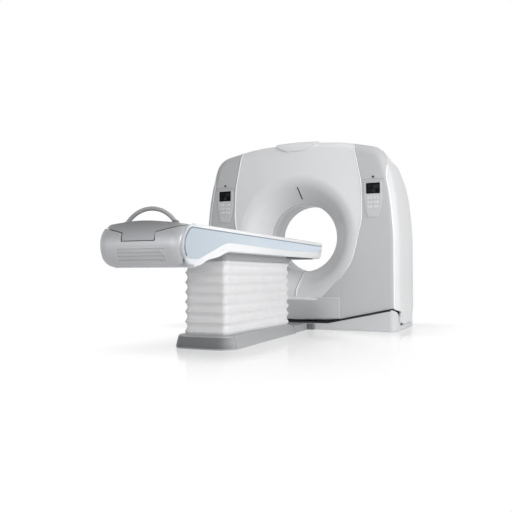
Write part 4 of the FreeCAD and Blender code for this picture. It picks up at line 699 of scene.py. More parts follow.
def build_seams():
    """The lip and the joint beside the centre cover, and the rim of the ledge."""
    chosen = settings("gantry")
    for side, path, ups in seam_path(-chosen.lip_width / 2 - 0.001):
        low = next(k for k, spot in enumerate(path) if spot.z < FAINT_LIP_TOP)
        trim(side + "_centre_cover_lip", path[:low + 1], ups[:low + 1],
             bead(chosen.lip_width, chosen.lip_proud), "lip_white", "tilt_unit",
             "white_cover")
        trim(side + "_centre_cover_foot_lip", path[low:], ups[low:],
             bead(chosen.lip_width * 0.8, chosen.lip_proud * 0.6), "glass_fibre_white",
             "tilt_unit", "white_cover")
    for side, path, ups in seam_path(chosen.joint_width / 2):
        trim(side + "_centre_cover_joint", path, ups, strip(chosen.joint_width, 0.0006),
             "joint_shadow", "tilt_unit", "panel_grey")
    path = [Vector((q.x, rim_level(q.x), q.y)) for q in rounded(LEDGE_RIM, False, 0.01)]
    trim("ledge_rim", path, [-Y] * len(path), bead(0.032, 0.011, 0.01), "lip_white",
         "tilt_unit", "white_cover")


def build_skirts():
    """The leaning faces under the covers, level with the side panels at their outer ends."""
    half, low = SKIRTS[0][2], SKIRT_TOP - 0.002
    inner = [(q.x, q.z) for side, path, _ in seam_path(0.001) if side == "right"
             for q in path if q.z < 0.52 and q.x < half]
    for side, sign in SIDES:
        shape = [(sign * x, z) for x, z in
                 [(half, inner[0][1])] + inner + [(0.30, low), (half, low)]]
        prism(side + "_skirt_shoulder", [shape], FRONT_LEVEL - 0.0009, 0.003, "panel_grey",
              "tilt_unit", "panel_grey")
    columns, rows = 116, 26
    wide = columns + 1
    for name, level, half, sweep_end, lean, finish, slot in SKIRTS:
        points = []
        for j in range(rows + 1):
            for k in range(columns + 1):
                x = -half + 2 * half * k / columns
                # the lower edge rises towards the sides, and the upper one is tucked in
                bottom = SKIRT_LOW + 0.19 * max(0.0, abs(x) - 0.34)
                z = SKIRT_TOP + (bottom - SKIRT_TOP) * j / rows
                back = lean * max(0.0, 0.312 - z) * (1 - eased(abs(x), 0.03, sweep_end))
                tuck = 0.003 if j == 0 else 0.0
                swing = math.sqrt(SWING ** 2 - (ISO - z) ** 2)
                y = min(abs(level) - back - tuck, swing)
                points.append(Vector((x, math.copysign(y, level), z)))
        faces = [(j * wide + k, j * wide + k + 1, (j + 1) * wide + k + 1, (j + 1) * wide + k)
                 for j in range(rows) for k in range(columns)]
        made = piece(name, points, faces, finish, "tilt_unit", slot)
        made.modifiers.new("Wall", "SOLIDIFY").thickness = SKIRT_WALL


def corner_arc(height, steps):
    """The corner's section at a height: its start runs out round the shoulder."""
    start = settings("gantry").corner_turn
    start += (RUN_OUT - start) * eased(height, SHOULDER_LOW, SHOULDER_HIGH)
    turns = [math.pi / 2 + (start - math.pi / 2) * k / steps for k in range(steps + 1)]
    outer, inner = EDGE_RADIUS + 0.0016, EDGE_RADIUS - 0.002
    return ([(outer * math.cos(t), outer * math.sin(t) - EDGE_RADIUS) for t in turns]
            + [(inner * math.cos(t), inner * math.sin(t) - EDGE_RADIUS)
               for t in reversed(turns)])


def build_corners():
    """The white covers' edge that wraps the front's rounding, from the skirt to the crown."""
    steps = 10
    ring = 2 * steps + 2
    turn = settings("gantry").corner_turn
    half = [q for q in rounded(OUTLINE_HALF, False) if q.y < SHOULDER_HIGH]
    rings = len(half)
    for side, sign in SIDES:
        points = []
        for k, spot in enumerate(half):
            ahead = (half[min(k + 1, rings - 1)] - half[max(k - 1, 0)]).normalized()
            for u, v in corner_arc(spot.y, steps):
                x, z = spot.x + ahead.y * v, spot.y - ahead.x * v
                if k == 0:
                    # the lowest ring falls towards the side, as the covers' edge does
                    z = 0.223 - 0.032 * clamped(x, 0.99, 1.055)
                points.append(shoulder(Vector((sign * x, FRONT_LEVEL + EDGE_RADIUS - u, z))))
        low = [k for k in range(3, rings) if half[k].y < CORNER_LIP_TOP]
        path, ups = [points[k * ring + steps] for k in low], []
        for k in low:
            out = points[k * ring] - points[k * ring + steps]
            sideways = Vector((out.x, 0, out.z)).normalized()
            ups.append(sideways * math.sin(turn) - Y * math.cos(turn))
        trim(side + "_corner_lip", path, ups, bead(0.012, 0.0022), "lip_white", "tilt_unit",
             "white_cover")
        piece(side + "_front_corner", points, skin(rings, ring), "glass_fibre_side",
              "tilt_unit", "white_cover", crease=40)


def shoulder(spot):
    """A point of the gantry's covers drawn in at the shoulders, more towards the back."""
    reach = 0.012 + 0.030 * eased(spot.y, -0.33, 0.22)
    near = math.exp(-((abs(spot.x) - 0.95) / 0.20) ** 2 - ((spot.z - 1.79) / 0.22) ** 2)
    side = 1 if spot.x > 0 else -1
    return spot + Vector((-0.64 * side, 0, -0.77)) * reach * near


def build_shoulders():
    """The gantry's covers with their shoulders drawn in."""
    cuts = ((Z, 1.40, 0.025, 21), (X, -1.05, 0.03, 18), (X, 0.54, 0.03, 18),
            (Y, -0.33, 0.06, 13))
    for node in ("left_side_cover", "right_side_cover", "top_cover", "rear_cover",
                 "left_front_panel", "right_front_panel"):
        panel = node.endswith("panel")
        finish = "panel_grey" if panel else "glass_fibre_side"
        slot = "panel_grey" if panel else "white_cover"
        reshaped(node, node + "_shell", finish, "tilt_unit", slot, shoulder, cuts)


def build_gap_shade():
    """Dark strips of painted shade behind the gap between the tilting covers and the base."""
    tall = settings("gantry").gap_shade_height
    # painted shade: black strips behind the gap, and a black lip at the front one, stand for the
    # shade inside it
    for name, node, face, back, slot in (
            ("front_gap_seal", "base_front_cover", -0.444, -0.4305, "panel_grey"),
            ("rear_gap_seal", "base_rear_cover", 0.464, 0.4505, "panel_grey")):
        across = [Vector((-1.005 + 2.01 * k / 134, face, 0)) for k in range(135)]
        top, _ = laid(across, -Z, (node,))
        path = [Vector((spot.x, back, spot.z)) for spot in top]
        section = [(0.005, -tall), (0.005, 0.0095), (-0.005, 0.0095), (-0.005, -tall)]
        trim(name, path, [Z] * len(path), section, "joint_dark", "base", slot)
        if node == "base_front_cover":
            path = [Vector((spot.x, -0.4475, spot.z - 0.001)) for spot in top]
            trim("front_gap_lip", path, [Z] * len(path),
                 [(0.0035, -0.006), (0.0035, 0.005), (-0.0035, 0.005), (-0.0035, -0.006)],
                 "joint_dark", "base", slot)


def build_base_sides():
    """A dark pan of painted shade under the gantry, and the side skirts with their returns and
    toes.
    """
    # painted shade: a dark pan under the gantry, so that its inside shows dark through the gaps
    block("base_pan", (-0.972, 0.972), (-0.425, 0.44), (0.0015, 0.0045), "shade_dark_grey",
          "base", "base_grey")
    for side, sign in SIDES:
        plate(side + "_side_skirt", rounded(SIDE_SKIRT, True, 0.02),
              ((1.0465, 0.0), (1.0525, 0.0), (1.0535, 0.001)), sign, "glass_fibre_side",
              "white_cover", "tilt_unit")
        block(side + "_skirt_return", (sign * 1.0325, sign * 1.050), (-0.3235, -0.318),
              (0.080, 0.180), "glass_fibre_side", "tilt_unit", "white_cover")
        lofted(side + "_base_toe",
               [[Vector((sign * (x - inset), y, z)) for x, y in
                 ((0.985, -0.258), (1.0285, -0.258), (1.0285, 0.278), (0.985, 0.278))]
                for z, inset in ((0.004, 0.0), (0.045, 0.0), (0.049, 0.002))],
               "lower_grey", "base", "panel_grey")


def build_bore():
    """Laser window, split line of the funnel, and the joints round the bore liner."""
    chosen = settings("gantry")
    count = 16
    radii = [chosen.slit_low + (chosen.slit_high - chosen.slit_low) * k / count
             for k in range(count + 1)]
    path, ups = laid([Vector((0, 0, ISO + r)) for r in radii], Y, ("front_center_cover",))
    trim("laser_window_frame", path, ups, strip(chosen.slit_width * 1.5, 0.0008),
         "liner", "tilt_unit", "panel_grey")
    trim("laser_window", path[1:-1], ups[1:-1], strip(chosen.slit_width, 0.0022),
         "joint_dark", "tilt_unit", "screen_black")
    lows = [0.366 + 0.248 * k / 30 for k in range(31)]
    for name, x, section, finish, slot in (
            ("funnel_split_lip", 0.0, bead(0.016, 0.005), "lip_white", "white_cover"),
            ("funnel_split_joint", -0.0105, strip(0.004, 0.0006), "joint_shadow",
             "panel_grey")):
        path, ups = laid([Vector((x, 0, ISO - r)) for r in lows], Y,
                         ("front_center_cover", "lower_front_cover"))
        trim(name, path, ups, section, finish, "tilt_unit", slot)
    radial = [Vector((math.cos(a), 0, math.sin(a))) for a in around(120)]
    for name, level in BORE_JOINTS:
        path = [Vector((0, level, ISO)) + r * LINER_RADIUS for r in radial]
        trim(name, path, [-r for r in radial], strip(0.004, 0.001), "joint_shadow",
             "tilt_unit", "panel_grey", closed=True)


# ---------------------------------------------------------------- controls

# Seven-segment figures: the strokes of each digit, as corners on a 2 by 4 grid.
STROKES = {"a": ((0, 4), (2, 4)), "b": ((2, 4), (2, 2)), "c": ((2, 2), (2, 0)),
           "d": ((0, 0), (2, 0)), "e": ((0, 0), (0, 2)), "f": ((0, 2), (0, 4)),
           "g": ((0, 2), (2, 2))}
DIGITS = {"0": "abcdef", "1": "bc", "2": "abged", "5": "afgcd"}
# A display's lines: the figures, their height over its lower edge, their size and stroke.
FIGURES = (("120", 0.052, 0.028, 0.0030), ("05", 0.014, 0.022, 0.0026))
# The bars left of the figures, by their height over the display's lower edge.
BARS = (0.018, 0.034, 0.066, 0.082)
# The two ribs on each panel: their height and how far their ends hang down.
PANEL_RIBS = ((1.486, 0.008), (1.461, 0.007))
PANEL_RIB_HALF, LAMP_HEIGHT = 0.112, 1.505
KEY_MARKS = ("up", "down", "in", "out", "ring", "bar")


def bar(first, second, width):
    """A straight stroke with pointed ends between two (x, z) points."""
    a, b = Vector(first), Vector(second)
    along = (b - a).normalized() * width / 2
    side = Vector((-along.y, along.x))
    return [tuple(q) for q in (a, a + along + side, b - along + side, b, b - along - side,
                               a + along - side)]


def figures(text, left, low, tall, width):
    """Figures of a display, each made of bars."""
    unit, shapes = tall / 4, []
    for index, sign in enumerate(text):
        start = left + index * unit * 3.2
        for key in DIGITS[sign]:
            (ax, az), (bx, bz) = STROKES[key]
            shapes.append(bar((start + ax * unit, low + az * unit),
                              (start + bx * unit, low + bz * unit), width))
    return shapes


def key_mark(kind, x, z, width):
    """The plain mark on a key: an arrow, a cross or a ring."""
    reach = 0.0065
    if kind == "ring":
        rim = [(x + reach * math.cos(a), z + reach * math.sin(a)) for a in around(16)]
        return [bar(a, b, width) for a, b in zip(rim, rim[1:] + rim[:1])]
    if kind == "bar":
        return [bar((x - reach, z), (x + reach, z), width),
                bar((x, z - reach), (x, z + reach), width)]
    across, up = {"up": (0, 1), "down": (0, -1), "in": (1, 0), "out": (-1, 0)}[kind]
    tip = (x + across * reach, z + up * reach)
    tail = (x - across * reach, z - up * reach)
    wings = [(x + up * reach * 0.8, z + across * reach * 0.8),
             (x - up * reach * 0.8, z - across * reach * 0.8)]
    return [bar(tail, tip, width)] + [bar(wing, tip, width) for wing in wings]


def front_corners(node, sign):
    """The lowest and the highest corner of a node's flat front, on one side of the middle."""
    spots = [v.co for v in NODES[node].data.vertices if v.co.x * sign > 0]
    level = min(q.y for q in spots)
    front = [q for q in spots if q.y < level + 1e-5]
    return [Vector((pick(q.x for q in front), level, pick(q.z for q in front)))
            for pick in (min, max)]


def build_controls():
    """Display frames and figures, the two ribs on each panel, and the marks on the keys."""
    chosen = settings("controls")
    for side, sign in SIDES:
        low, high = front_corners("gantry_displays", sign)
        middle = (low.x + high.x) / 2
        shapes = [stroke for text, up, tall, width in FIGURES
                  for stroke in figures(text, middle - 0.008, low.z + up, tall, width)]
        shapes += [bar((low.x + 0.012, low.z + up), (middle - 0.018, low.z + up), 0.002)
                   for up in BARS]
        prism(side + "_display_figures", shapes, low.y - 0.0004, 0.0004, "display_mark",
              "tilt_unit", "screen_black")
        edge = chosen.frame_width
        left, right = low.x - edge / 2, high.x + edge / 2
        bottom, top = low.z - edge / 2, high.z + edge / 2
        rim = rounded([(x, z, 0.006) for x, z in
                       ((left, bottom), (right, bottom), (right, top), (left, top))],
                      step=0.004)
        path = [Vector((q.x, -0.428, q.y)) for q in rim]
        trim(side + "_display_frame", path, [-Y] * len(path), strip(edge, 0.0018),
             "joint_dark", "tilt_unit", "screen_black", closed=True)
        panel = (side + "_front_panel", side + "_bezel", "front_center_cover")
        for number, (height, bow) in enumerate(PANEL_RIBS, start=1):
            line = [Vector((middle + PANEL_RIB_HALF * t / 12, 0,
                            height - bow * (t / 12) ** 2)) for t in range(-12, 13)]
            path, ups = laid(line, Y, panel)
            trim(f"{side}_panel_rib_{number}", path, ups, bead(chosen.arc_width, 0.0012),
                 "rib_grey", "tilt_unit", "bezel_grey")
        ring = [Vector((middle + 0.0115 * math.cos(t), FRONT_LEVEL - 0.0002,
                        LAMP_HEIGHT + 0.0085 * math.sin(t))) for t in around(24)]
        trim(side + "_lamp_surround", ring, [-Y] * 24, strip(0.008, 0.0008), "groove_grey",
             "tilt_unit", "bezel_grey", closed=True)
        for index, kind in enumerate(KEY_MARKS, start=1):
            key = f"{side}_key_{index}"
            first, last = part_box(key)
            centre = (first + last) / 2
            prism(key + "_mark", key_mark(kind, centre.x, centre.z, chosen.mark_width),
                  first.y - 0.0004, 0.0006, "key_mark", key, "key_white")


# ---------------------------------------------------------------- bellows


def plan_ring(half, foot, head, radius, inset, arc=7, long_parts=22, short_parts=8):
    """One level of the bellows: a rectangle with round corners, as (x, y) points."""
    half, foot, head, radius = half - inset, foot + inset, head - inset, radius - inset
    corners = [(half - radius, head - radius, 0), (-half + radius, head - radius, 90),
               (-half + radius, foot + radius, 180), (half - radius, foot + radius, 270)]
    ring = []
    for index, (x, y, start) in enumerate(corners):
        for k in range(arc + 1):
            angle = math.radians(start + 90 * k / arc)
            ring.append(Vector((x + radius * math.cos(angle), y + radius * math.sin(angle))))
        x2, y2, next_start = corners[(index + 1) % 4]
        angle = math.radians(next_start)
        first = ring[-1]
        second = Vector((x2 + radius * math.cos(angle), y2 + radius * math.sin(angle)))
        parts = short_parts if index in (0, 2) else long_parts
        ring += [first.lerp(second, k / parts) for k in range(1, parts)]
    return ring


def build_bellows():
    """The folded cloth: sharp ridges, scallops between them, and slack in the long runs."""
    chosen = settings("couch")
    low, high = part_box("bellows")
    half, foot, head, radius = high.x - chosen.bellows_inset, low.y, high.y + 0.055, 0.052
    # the cloth starts and ends at this share of a pleat
    cut, steps = 0.2135, 12
    tall, middle = high.z - low.z, foot / 2 + head / 2
    pitch = tall / (chosen.pleats - 2 * cut)
    rows = round((chosen.pleats - 2 * cut) * steps)
    slack, sag = 0.0016, 0.0012
    points, ring = [], 0
    for row in range(rows + 1):
        fold = (cut + row / steps) % 1.0
        share = math.sin(math.pi / 2 * abs(2 * fold - 1))
        z = min(high.z, low.z + pitch * row / steps)
        level = plan_ring(half, foot, head, radius, chosen.pleat_depth * share)
        ring = len(level)
        away = math.sin(math.pi * (z - low.z) / tall)
        for spot in level:
            run = math.sin(spot.y * 9.0 + z * 31.0) * math.sin(spot.x * 14.0 + z * 17.0)
            inward = sag * away * (1 + math.sin(spot.y * 23.0 + spot.x * 31.0 + row * 0.7))
            scale = 1 - inward / max(0.05, spot.length)
            points.append((spot.x * scale, middle + (spot.y - middle) * scale,
                           z + slack * away * run * share))
    cloth = piece("bellows_cloth", points, skin(rows + 1, ring, capped=False), "cloth",
                  "base", "bellows_cloth")
    wall = cloth.modifiers.new("Cloth", "SOLIDIFY")
    wall.thickness = chosen.cloth
    wall.offset = -1
    cloth.modifiers.new("Ridges", "EDGE_SPLIT").split_angle = math.radians(50)
    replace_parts(cloth, "bellows")
    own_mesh(cloth)


# ---------------------------------------------------------------- couch trim

# The side panel's outline as y, z and rounding, from its upper foot corner round the foot.
SIDE_PANEL = ((-3.114, 0.834, 0.060), (-3.206, 0.735, 0.090), (-3.148, 0.640, 0.045),
              (-3.020, 0.640, 0.100), (-2.620, 0.764, 0.500), (-1.420, 0.752, 0.0),
              (-0.700, 0.765, 0.100), (-0.535, 0.790, 0.030), (-0.521, 0.823, 0.008))
# The white cheek round it.
CHEEK = ((-3.102, 0.857, 0.070), (-3.230, 0.735, 0.100), (-3.130, 0.602, 0.070),
         (-3.000, 0.600, 0.120), (-2.680, 0.7025, 0.300), (-0.545, 0.7025, 0.055),
         (-0.505, 0.780, 0.030), (-0.505, 0.850, 0.008))
# The nose between the cheeks at the head end.
NOSE = ((-0.760, 0.703, 0.0), (-0.552, 0.703, 0.055), (-0.508, 0.780, 0.030),
        (-0.508, 0.800, 0.0), (-0.760, 0.800, 0.0))
# The middle of the round foot, in y and z.
FOOT_MIDDLE = Vector((-3.020, 0.735))
# Both plates' edges from the couch outward: the level of |x| and how far it is drawn in.
CHEEK_EDGE = ((0.290, 0.0), (0.2985, 0.0012), (0.3052, 0.005), (0.3092, 0.010),
              (0.3110, 0.017))
PANEL_EDGE = ((0.3100, 0.0), (0.3116, 0.0), (0.3123, 0.0012), (0.3125, 0.006))
# The foot end swells like a barrel towards the foot from this y, round this middle height.
SWELL_START, SWELL_FULL, SWELL_MIDDLE, SWELL_HALF = -3.020, -3.150, 0.730, 0.135
# The end cap's tab under the handle, as x, z and rounding.
TAB = ((-0.126, 0.806, 0.0), (-0.120, 0.752, 0.006), (0.120, 0.752, 0.006),
       (0.126, 0.806, 0.0))
# Planes that cut a node finely before it is bent: their normal, first place, step and count.
FOOT_CUTS = ((Z, 0.600, 0.008, 36), (X, -0.300, 0.015, 41), (Y, -3.222, 0.014, 7))
HOUSING_CUTS = (*FOOT_CUTS[:2], (Y, -3.190, 0.014, 40))


def grown(loop, reach):
    """A closed outline moved outward."""
    area = sum(a.x * b.y - b.x * a.y for a, b in zip(loop, loop[1:] + loop[:1]))
    turn = 1 if area > 0 else -1
    made = []
    for before, here, after in zip(loop[-1:] + loop[:-1], loop, loop[1:] + loop[:1]):
        along = (after - before).normalized()
        made.append(here + Vector((along.y, -along.x)) * reach * turn)
    return made


def plate(name, loop, levels, sign, finish, slot, body="couch_top"):
    """A side plate: a (y, z) outline at levels of |x|, each drawn inward."""
    rings = [[Vector((sign * level, q.x, q.y)) for q in grown(loop, -inward)]
             for level, inward in levels]
    return lofted(name, rings, finish, body, slot, 25)


def shadow_line(outline, sign):
    """The part of a side panel's outline that carries the dark line: foot end and top."""
    count = len(outline)
    kept = [k for k in range(count) if outline[k].y > 0.822 or
            (outline[k].x < -3.09 and outline[k].y > 0.655)]
    first = next(k for k in kept if (k - 1) % count not in kept)
    line = []
    for step in range(count):
        k = (first + step) % count
        if k not in kept:
            break
        line.append(outline[k])
    path = [Vector((sign * 0.3106, q.x, q.y)) for q in line]
    return path, [X * sign] * len(path)


def build_side_panels():
    """The white cheeks, the lacquered panels on them, their dark lines, and the nose."""
    chosen = settings("couch")
    outline, cheek = rounded(SIDE_PANEL), rounded(CHEEK)
    foot = [q for q in cheek if q.x < -3.095 and 0.630 < q.y < 0.850]
    for side, sign in SIDES:
        plate(side + "_cheek", cheek, CHEEK_EDGE, sign, "couch_white", "couch_white")
        plate(side + "_side_panel", outline, PANEL_EDGE, sign, "inset_blue", "inset_blue")
        trim(side + "_side_panel_shadow", *shadow_line(grown(outline, 0.003), sign),
             strip(chosen.groove_width, 0.0026, 0.001), "groove_grey", "couch_top",
             "inset_blue")
        ups = [Vector((0, *(q - FOOT_MIDDLE))).normalized() for q in foot]
        trim(side + "_foot_joint", [Vector((sign * 0.276, q.x, q.y)) for q in foot], ups,
             strip(0.030, 0.009, 0.004), "rib_grey", "couch_top", "silver_cover")
    plate("couch_nose", rounded(NOSE), ((-0.291, 0.0), (0.291, 0.0)), 1, "couch_white",
          "couch_white")
    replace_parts(bpy.data.objects["right_side_panel"], "side_inset_panels")


def barrel(spot):
    """A point of the foot end moved back, so that its face swells like a barrel."""
    bend = min(1.3, ((spot.z - SWELL_MIDDLE) / SWELL_HALF) ** 2)
    back = bend * (0.032 + 0.040 * (spot.x / 0.3) ** 2)
    return spot + Y * back * eased(spot.y, SWELL_START, SWELL_FULL)


def squared(spot):
    """A point of the foot cover with its corners brought forward, then bent to the barrel."""
    corner = 0.08
    over = min(corner - 1e-4, max(0.0, abs(spot.x) - 0.223))
    forward = 0.5 * (corner - math.sqrt(corner ** 2 - over * over))
    return barrel(spot - Y * forward)


def tucked(spot):
    """A point of the couch housing moved to stay behind the foot end's covers."""
    held = Vector(spot)
    if held.y < -3.10:
        held.y = -3.10 + (held.y + 3.10) * 0.35
    low = clamped(held.z, 0.700, 0.660)
    held.z += 0.026 * low * math.exp(-((held.y + 2.90) / 0.12) ** 2)
    flank = max(0.0, abs(held.x) - 0.30) / 0.01
    held.z += 0.020 * low * flank * clamped(held.y, -3.0, -3.1)
    return barrel(held)


def reshaped(node, name, finish, body, slot, move, cuts=FOOT_CUTS):
    """A finely cut copy of a node, moved point by point and put in the node's place."""
    shape = bmesh.new()
    shape.from_mesh(NODES[node].data)
    bmesh.ops.remove_doubles(shape, verts=shape.verts[:], dist=1e-5)
    for normal, first, step, count in cuts:
        for k in range(count):
            bmesh.ops.bisect_plane(shape, geom=shape.verts[:] + shape.edges[:] + shape.faces[:],
                                   plane_co=normal * (first + step * k), plane_no=normal,
                                   dist=1e-6)
    for vert in shape.verts:
        vert.co = move(vert.co)
    mesh = bpy.data.meshes.new(name)
    shape.to_mesh(mesh)
    shape.free()
    made = placed(name, mesh, finish, body, slot, crease=28)
    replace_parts(made, node)


def build_foot_end():
    """The barrel-shaped foot cover and end cap, the joint under the tab and the grille."""
    reshaped("foot_cover", "foot_cover_shell", "silver", "couch_top", "silver_cover", squared)
    reshaped("couch_frame", "couch_housing_shell", "couch_white", "couch_top", "couch_white",
             tucked, HOUSING_CUTS)
    reshaped("tabletop_end_cap", "end_cap_shell", "cap", "table_top", "cap_grey", barrel)
    path = [barrel(Vector((q.x, -3.2313, q.y))) for q in rounded(TAB, False, 0.008)]
    trim("end_cap_joint", path, [-Y] * len(path), strip(0.005, 0.0022, 0.004), "joint_dark",
         "couch_top", "cap_grey")
    turns = [math.pi / 2 - math.pi * k / 16 for k in range(17)]
    path = [barrel(Vector((0.158 + 0.031 * math.cos(t), -3.2335, 0.6585 + 0.031 * math.sin(t))))
            for t in turns]
    trim("grille_end", path, [-Y] * len(path), bead(0.009, 0.0022), "silver", "couch_top",
         "silver_cover")


# ---------------------------------------------------------------- base plate

# Half outlines of the couch's base plate and of the link to the gantry, as x, y and rounding.
PLATE = ((0.198, -0.962, 0.0), (0.216, -1.70, 0.6), (0.250, -2.30, 0.5),
         (0.240, -2.432, 0.115), (0.0, -2.446, 1.5))
LINK = ((0.150, -0.4515, 0.0), (0.178, -0.958, 0.0), (0.0, -0.958, 0.0))
# Their edges: the share of the height and how far it is drawn in.
PLATE_EDGE = ((0.0, 0.0), (0.12, 0.0), (0.90, 0.018), (0.97, 0.021), (1.0, 0.028))
LINK_EDGE = ((0.0, 0.0), (0.90, 0.008), (1.0, 0.016))
# The socket's sides in x, and its edge as height and how far it is drawn in.
SOCKET_SIDES, SOCKET_EDGE = (0.154, 0.214), ((0.0, 0.0), (0.054, 0.0), (0.058, 0.003))
# The tray that the lift column stands in: the levels of its rim and its floor, and its middle.
TRAY_LEVELS, TRAY_MIDDLE = (0.0995, 0.025), -1.75
# The end cap's collars, by the height over the handle's foot and the radius.
COLLAR = ((-0.004, 0.021), (0.004, 0.020), (0.016, 0.0165), (0.018, 0.0150))
# The dark rail of painted shade under the couch's nose, as x, y and rounding.
NOSE_SHADE = ((0.285, -1.21, 0.02), (0.285, -0.70, 0.02), (-0.285, -0.70, 0.02),
             (-0.285, -1.21, 0.02))


def height_at(y):
    """The base plate's height: level under the bellows, falling towards the gantry."""
    return 0.1 - 0.026 * clamped(y, -1.12, -0.96) - 0.012 * clamped(y, -0.96, -0.45)


def both_sides(half):
    """A closed (x, y) outline from its right half, given from the head to the foot."""
    left = [(-x, y, radius) for x, y, radius in reversed(half[:-1])]
    return rounded(list(half) + left, True, 0.014)


def sloped(outline, edge):
    """Rings of an (x, y) outline at shares of the plate's height, each drawn inward."""
    return [[Vector((q.x, q.y, share * height_at(q.y))) for q in grown(outline, -inset)]
            for share, inset in edge]


def build_base_plate():
    """The couch's tapering base plate with a strip of painted shade round its toe, the link and
    its socket.
    """
    outline = both_sides(PLATE)
    rings = sloped(outline, PLATE_EDGE)
    rings += [[Vector((q.x * 0.62, TRAY_MIDDLE + (q.y - TRAY_MIDDLE) * 0.5, z))
               for q in grown(outline, -PLATE_EDGE[-1][1])] for z in TRAY_LEVELS]
    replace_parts(lofted("base_plate_shell", rings, "base", "base", "base_grey"),
                "couch_base_plate")
    middle = [q for q in grown(outline, -0.0085) if q.y < -2.330]
    start = max(range(len(middle)), key=lambda k: (middle[k] - middle[k - 1]).length)
    path = [Vector((q.x, q.y, 0.049)) for q in middle[start:] + middle[:start]]
    ups = []
    for k, spot in enumerate(path):
        ahead = path[min(k + 1, len(path) - 1)] - path[max(k - 1, 0)]
        out = ahead.cross(Z).normalized()
        out = out if out.dot(spot - Vector((0, -2.2, spot.z))) > 0 else -out
        ups.append((out + Z * 0.23).normalized())
    # painted shade: a dark strip on the toe's foot face that fades into the plate's grey along
    # the sides
    trim("toe_bumper", path, ups, strip(0.080, 0.0022, 0.003), "toe_shade", "base", "base_grey")
    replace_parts(lofted("floor_link_shell", sloped(both_sides(LINK), LINK_EDGE), "base",
                       "base", "base_grey"), "floor_link_cover")
    low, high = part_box("link_socket")
    (left, right), head = SOCKET_SIDES, high.y - 0.001
    socket = rounded([(left, low.y, 0.004), (right, low.y, 0.004), (right, head, 0.0),
                      (left, head, 0.0)], True, 0.01)
    rings = [[Vector((q.x, q.y, z)) for q in grown(socket, -inset)]
             for z, inset in SOCKET_EDGE]
    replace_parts(lofted("link_socket_block", rings, "socket_grey", "base", "base_grey"),
                "link_socket")


def build_collars():
    """The dark sockets that hold the handle's feet on the end cap."""
    low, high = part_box("cradle_handle")
    for side, sign in SIDES:
        rings = []
        for up, radius in COLLAR:
            middle = sign * (high.x - 0.016 - 0.35 * up)
            rings.append([Vector((middle + radius * 1.2 * math.cos(t),
                                  (low.y + high.y) / 2 + radius * math.sin(t), low.z + up))
                          for t in around(24)])
        lofted(side + "_handle_collar", rings, "collar", "table_top", "cap_grey", 50)


def build_carriage():
    """The cover between the bellows and the couch's underside, and a dark rail of painted shade
    under the nose.
    """
    low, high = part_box("lower_carriage")
    rings = [[Vector((q.x, q.y, z)) for q in plan_ring(half, foot, head, 0.05, 0.0)]
             for z, half, foot, head in ((low.z - 0.002, 0.191, -2.377, -1.062),
                                         (low.z + 0.010, 0.192, -2.379, -1.052),
                                         (high.z, 0.200, -2.400, -0.992))]
    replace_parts(lofted("carriage_cover", rings, "carriage", "couch_top", "couch_white"),
                "lower_carriage")
    # painted shade: a dark rail under the nose, where the underside lies in shade
    rail = rounded(NOSE_SHADE, True, 0.02)
    lofted("nose_rail", [[Vector((q.x, q.y, z)) for q in rail] for z in (0.694, 0.7025)],
           "shade_dark_grey", "couch_top", "couch_white")


# ---------------------------------------------------------------- stage


# Name, place, aim and width of each disk light, in metres; its power is a setting.
STUDIO_LIGHTS = (
    ("side_light", (6.5, -2.0, 2.2), (0.0, -0.6, 0.9), 3.5),
    ("front_light", (5.0, -6.0, 2.4), (0.0, -0.8, 0.9), 3.0),
    ("fill_light", (-1.5, -8.5, 2.0), (0.0, -0.8, 0.9), 4.0),
    ("left_light", (-6.0, -3.0, 2.0), (0.0, -0.8, 0.9), 3.5),
    ("top_light", (0.5, -1.5, 5.0), (0.0, -1.0, 0.0), 4.0),
)
# The camera as it stood for the photograph: place in metres, turn and rise in degrees, lens
# and sensor in millimetres.
CAMERA_PLACE, CAMERA_TURN, CAMERA_RISE = (2.2266, -6.4646, 0.5368), 23.84, 1.811
LENS, SENSOR = 44.112, 36.0
FLOOR_HALF = 30.0
# The middle and half size of what stands on the floor, with a height past every point.
FOOTPRINTS = (((0, 0.0, 0), (1.03, 0.46, 9)), ((0, -1.6, 0), (0.26, 0.86, 9)))
BACKDROP = (1, 1, 1, 1)


def build_camera(scene):
    """The camera at the photograph's angle."""
    lens = bpy.data.cameras.new("camera")
    lens.sensor_width = SENSOR
    lens.lens = LENS
    camera = bpy.data.objects.new("camera", lens)
    scene.collection.objects.link(camera)
    yaw, pitch = math.radians(CAMERA_TURN), math.radians(CAMERA_RISE)
    ahead = Vector((-math.sin(yaw) * math.cos(pitch), math.cos(yaw) * math.cos(pitch),
                    math.sin(pitch)))
    camera.location = CAMERA_PLACE
    camera.rotation_euler = ahead.to_track_quat("-Z", "Y").to_euler()
    scene.camera = camera


def build_lights(scene, level):
    """The soft disk lights, each aimed at the middle of what it lights."""
    for name, spot, aim, width in STUDIO_LIGHTS:
        lamp = bpy.data.lights.new(name, "AREA")
        lamp.shape = "DISK"
        lamp.size = width
        lamp.energy = getattr(level, name.replace("_light", "_power"))
        made = bpy.data.objects.new(name, lamp)
        made.location = spot
        made.rotation_euler = (Vector(aim) - Vector(spot)).to_track_quat("-Z", "Y").to_euler()
        scene.collection.objects.link(made)


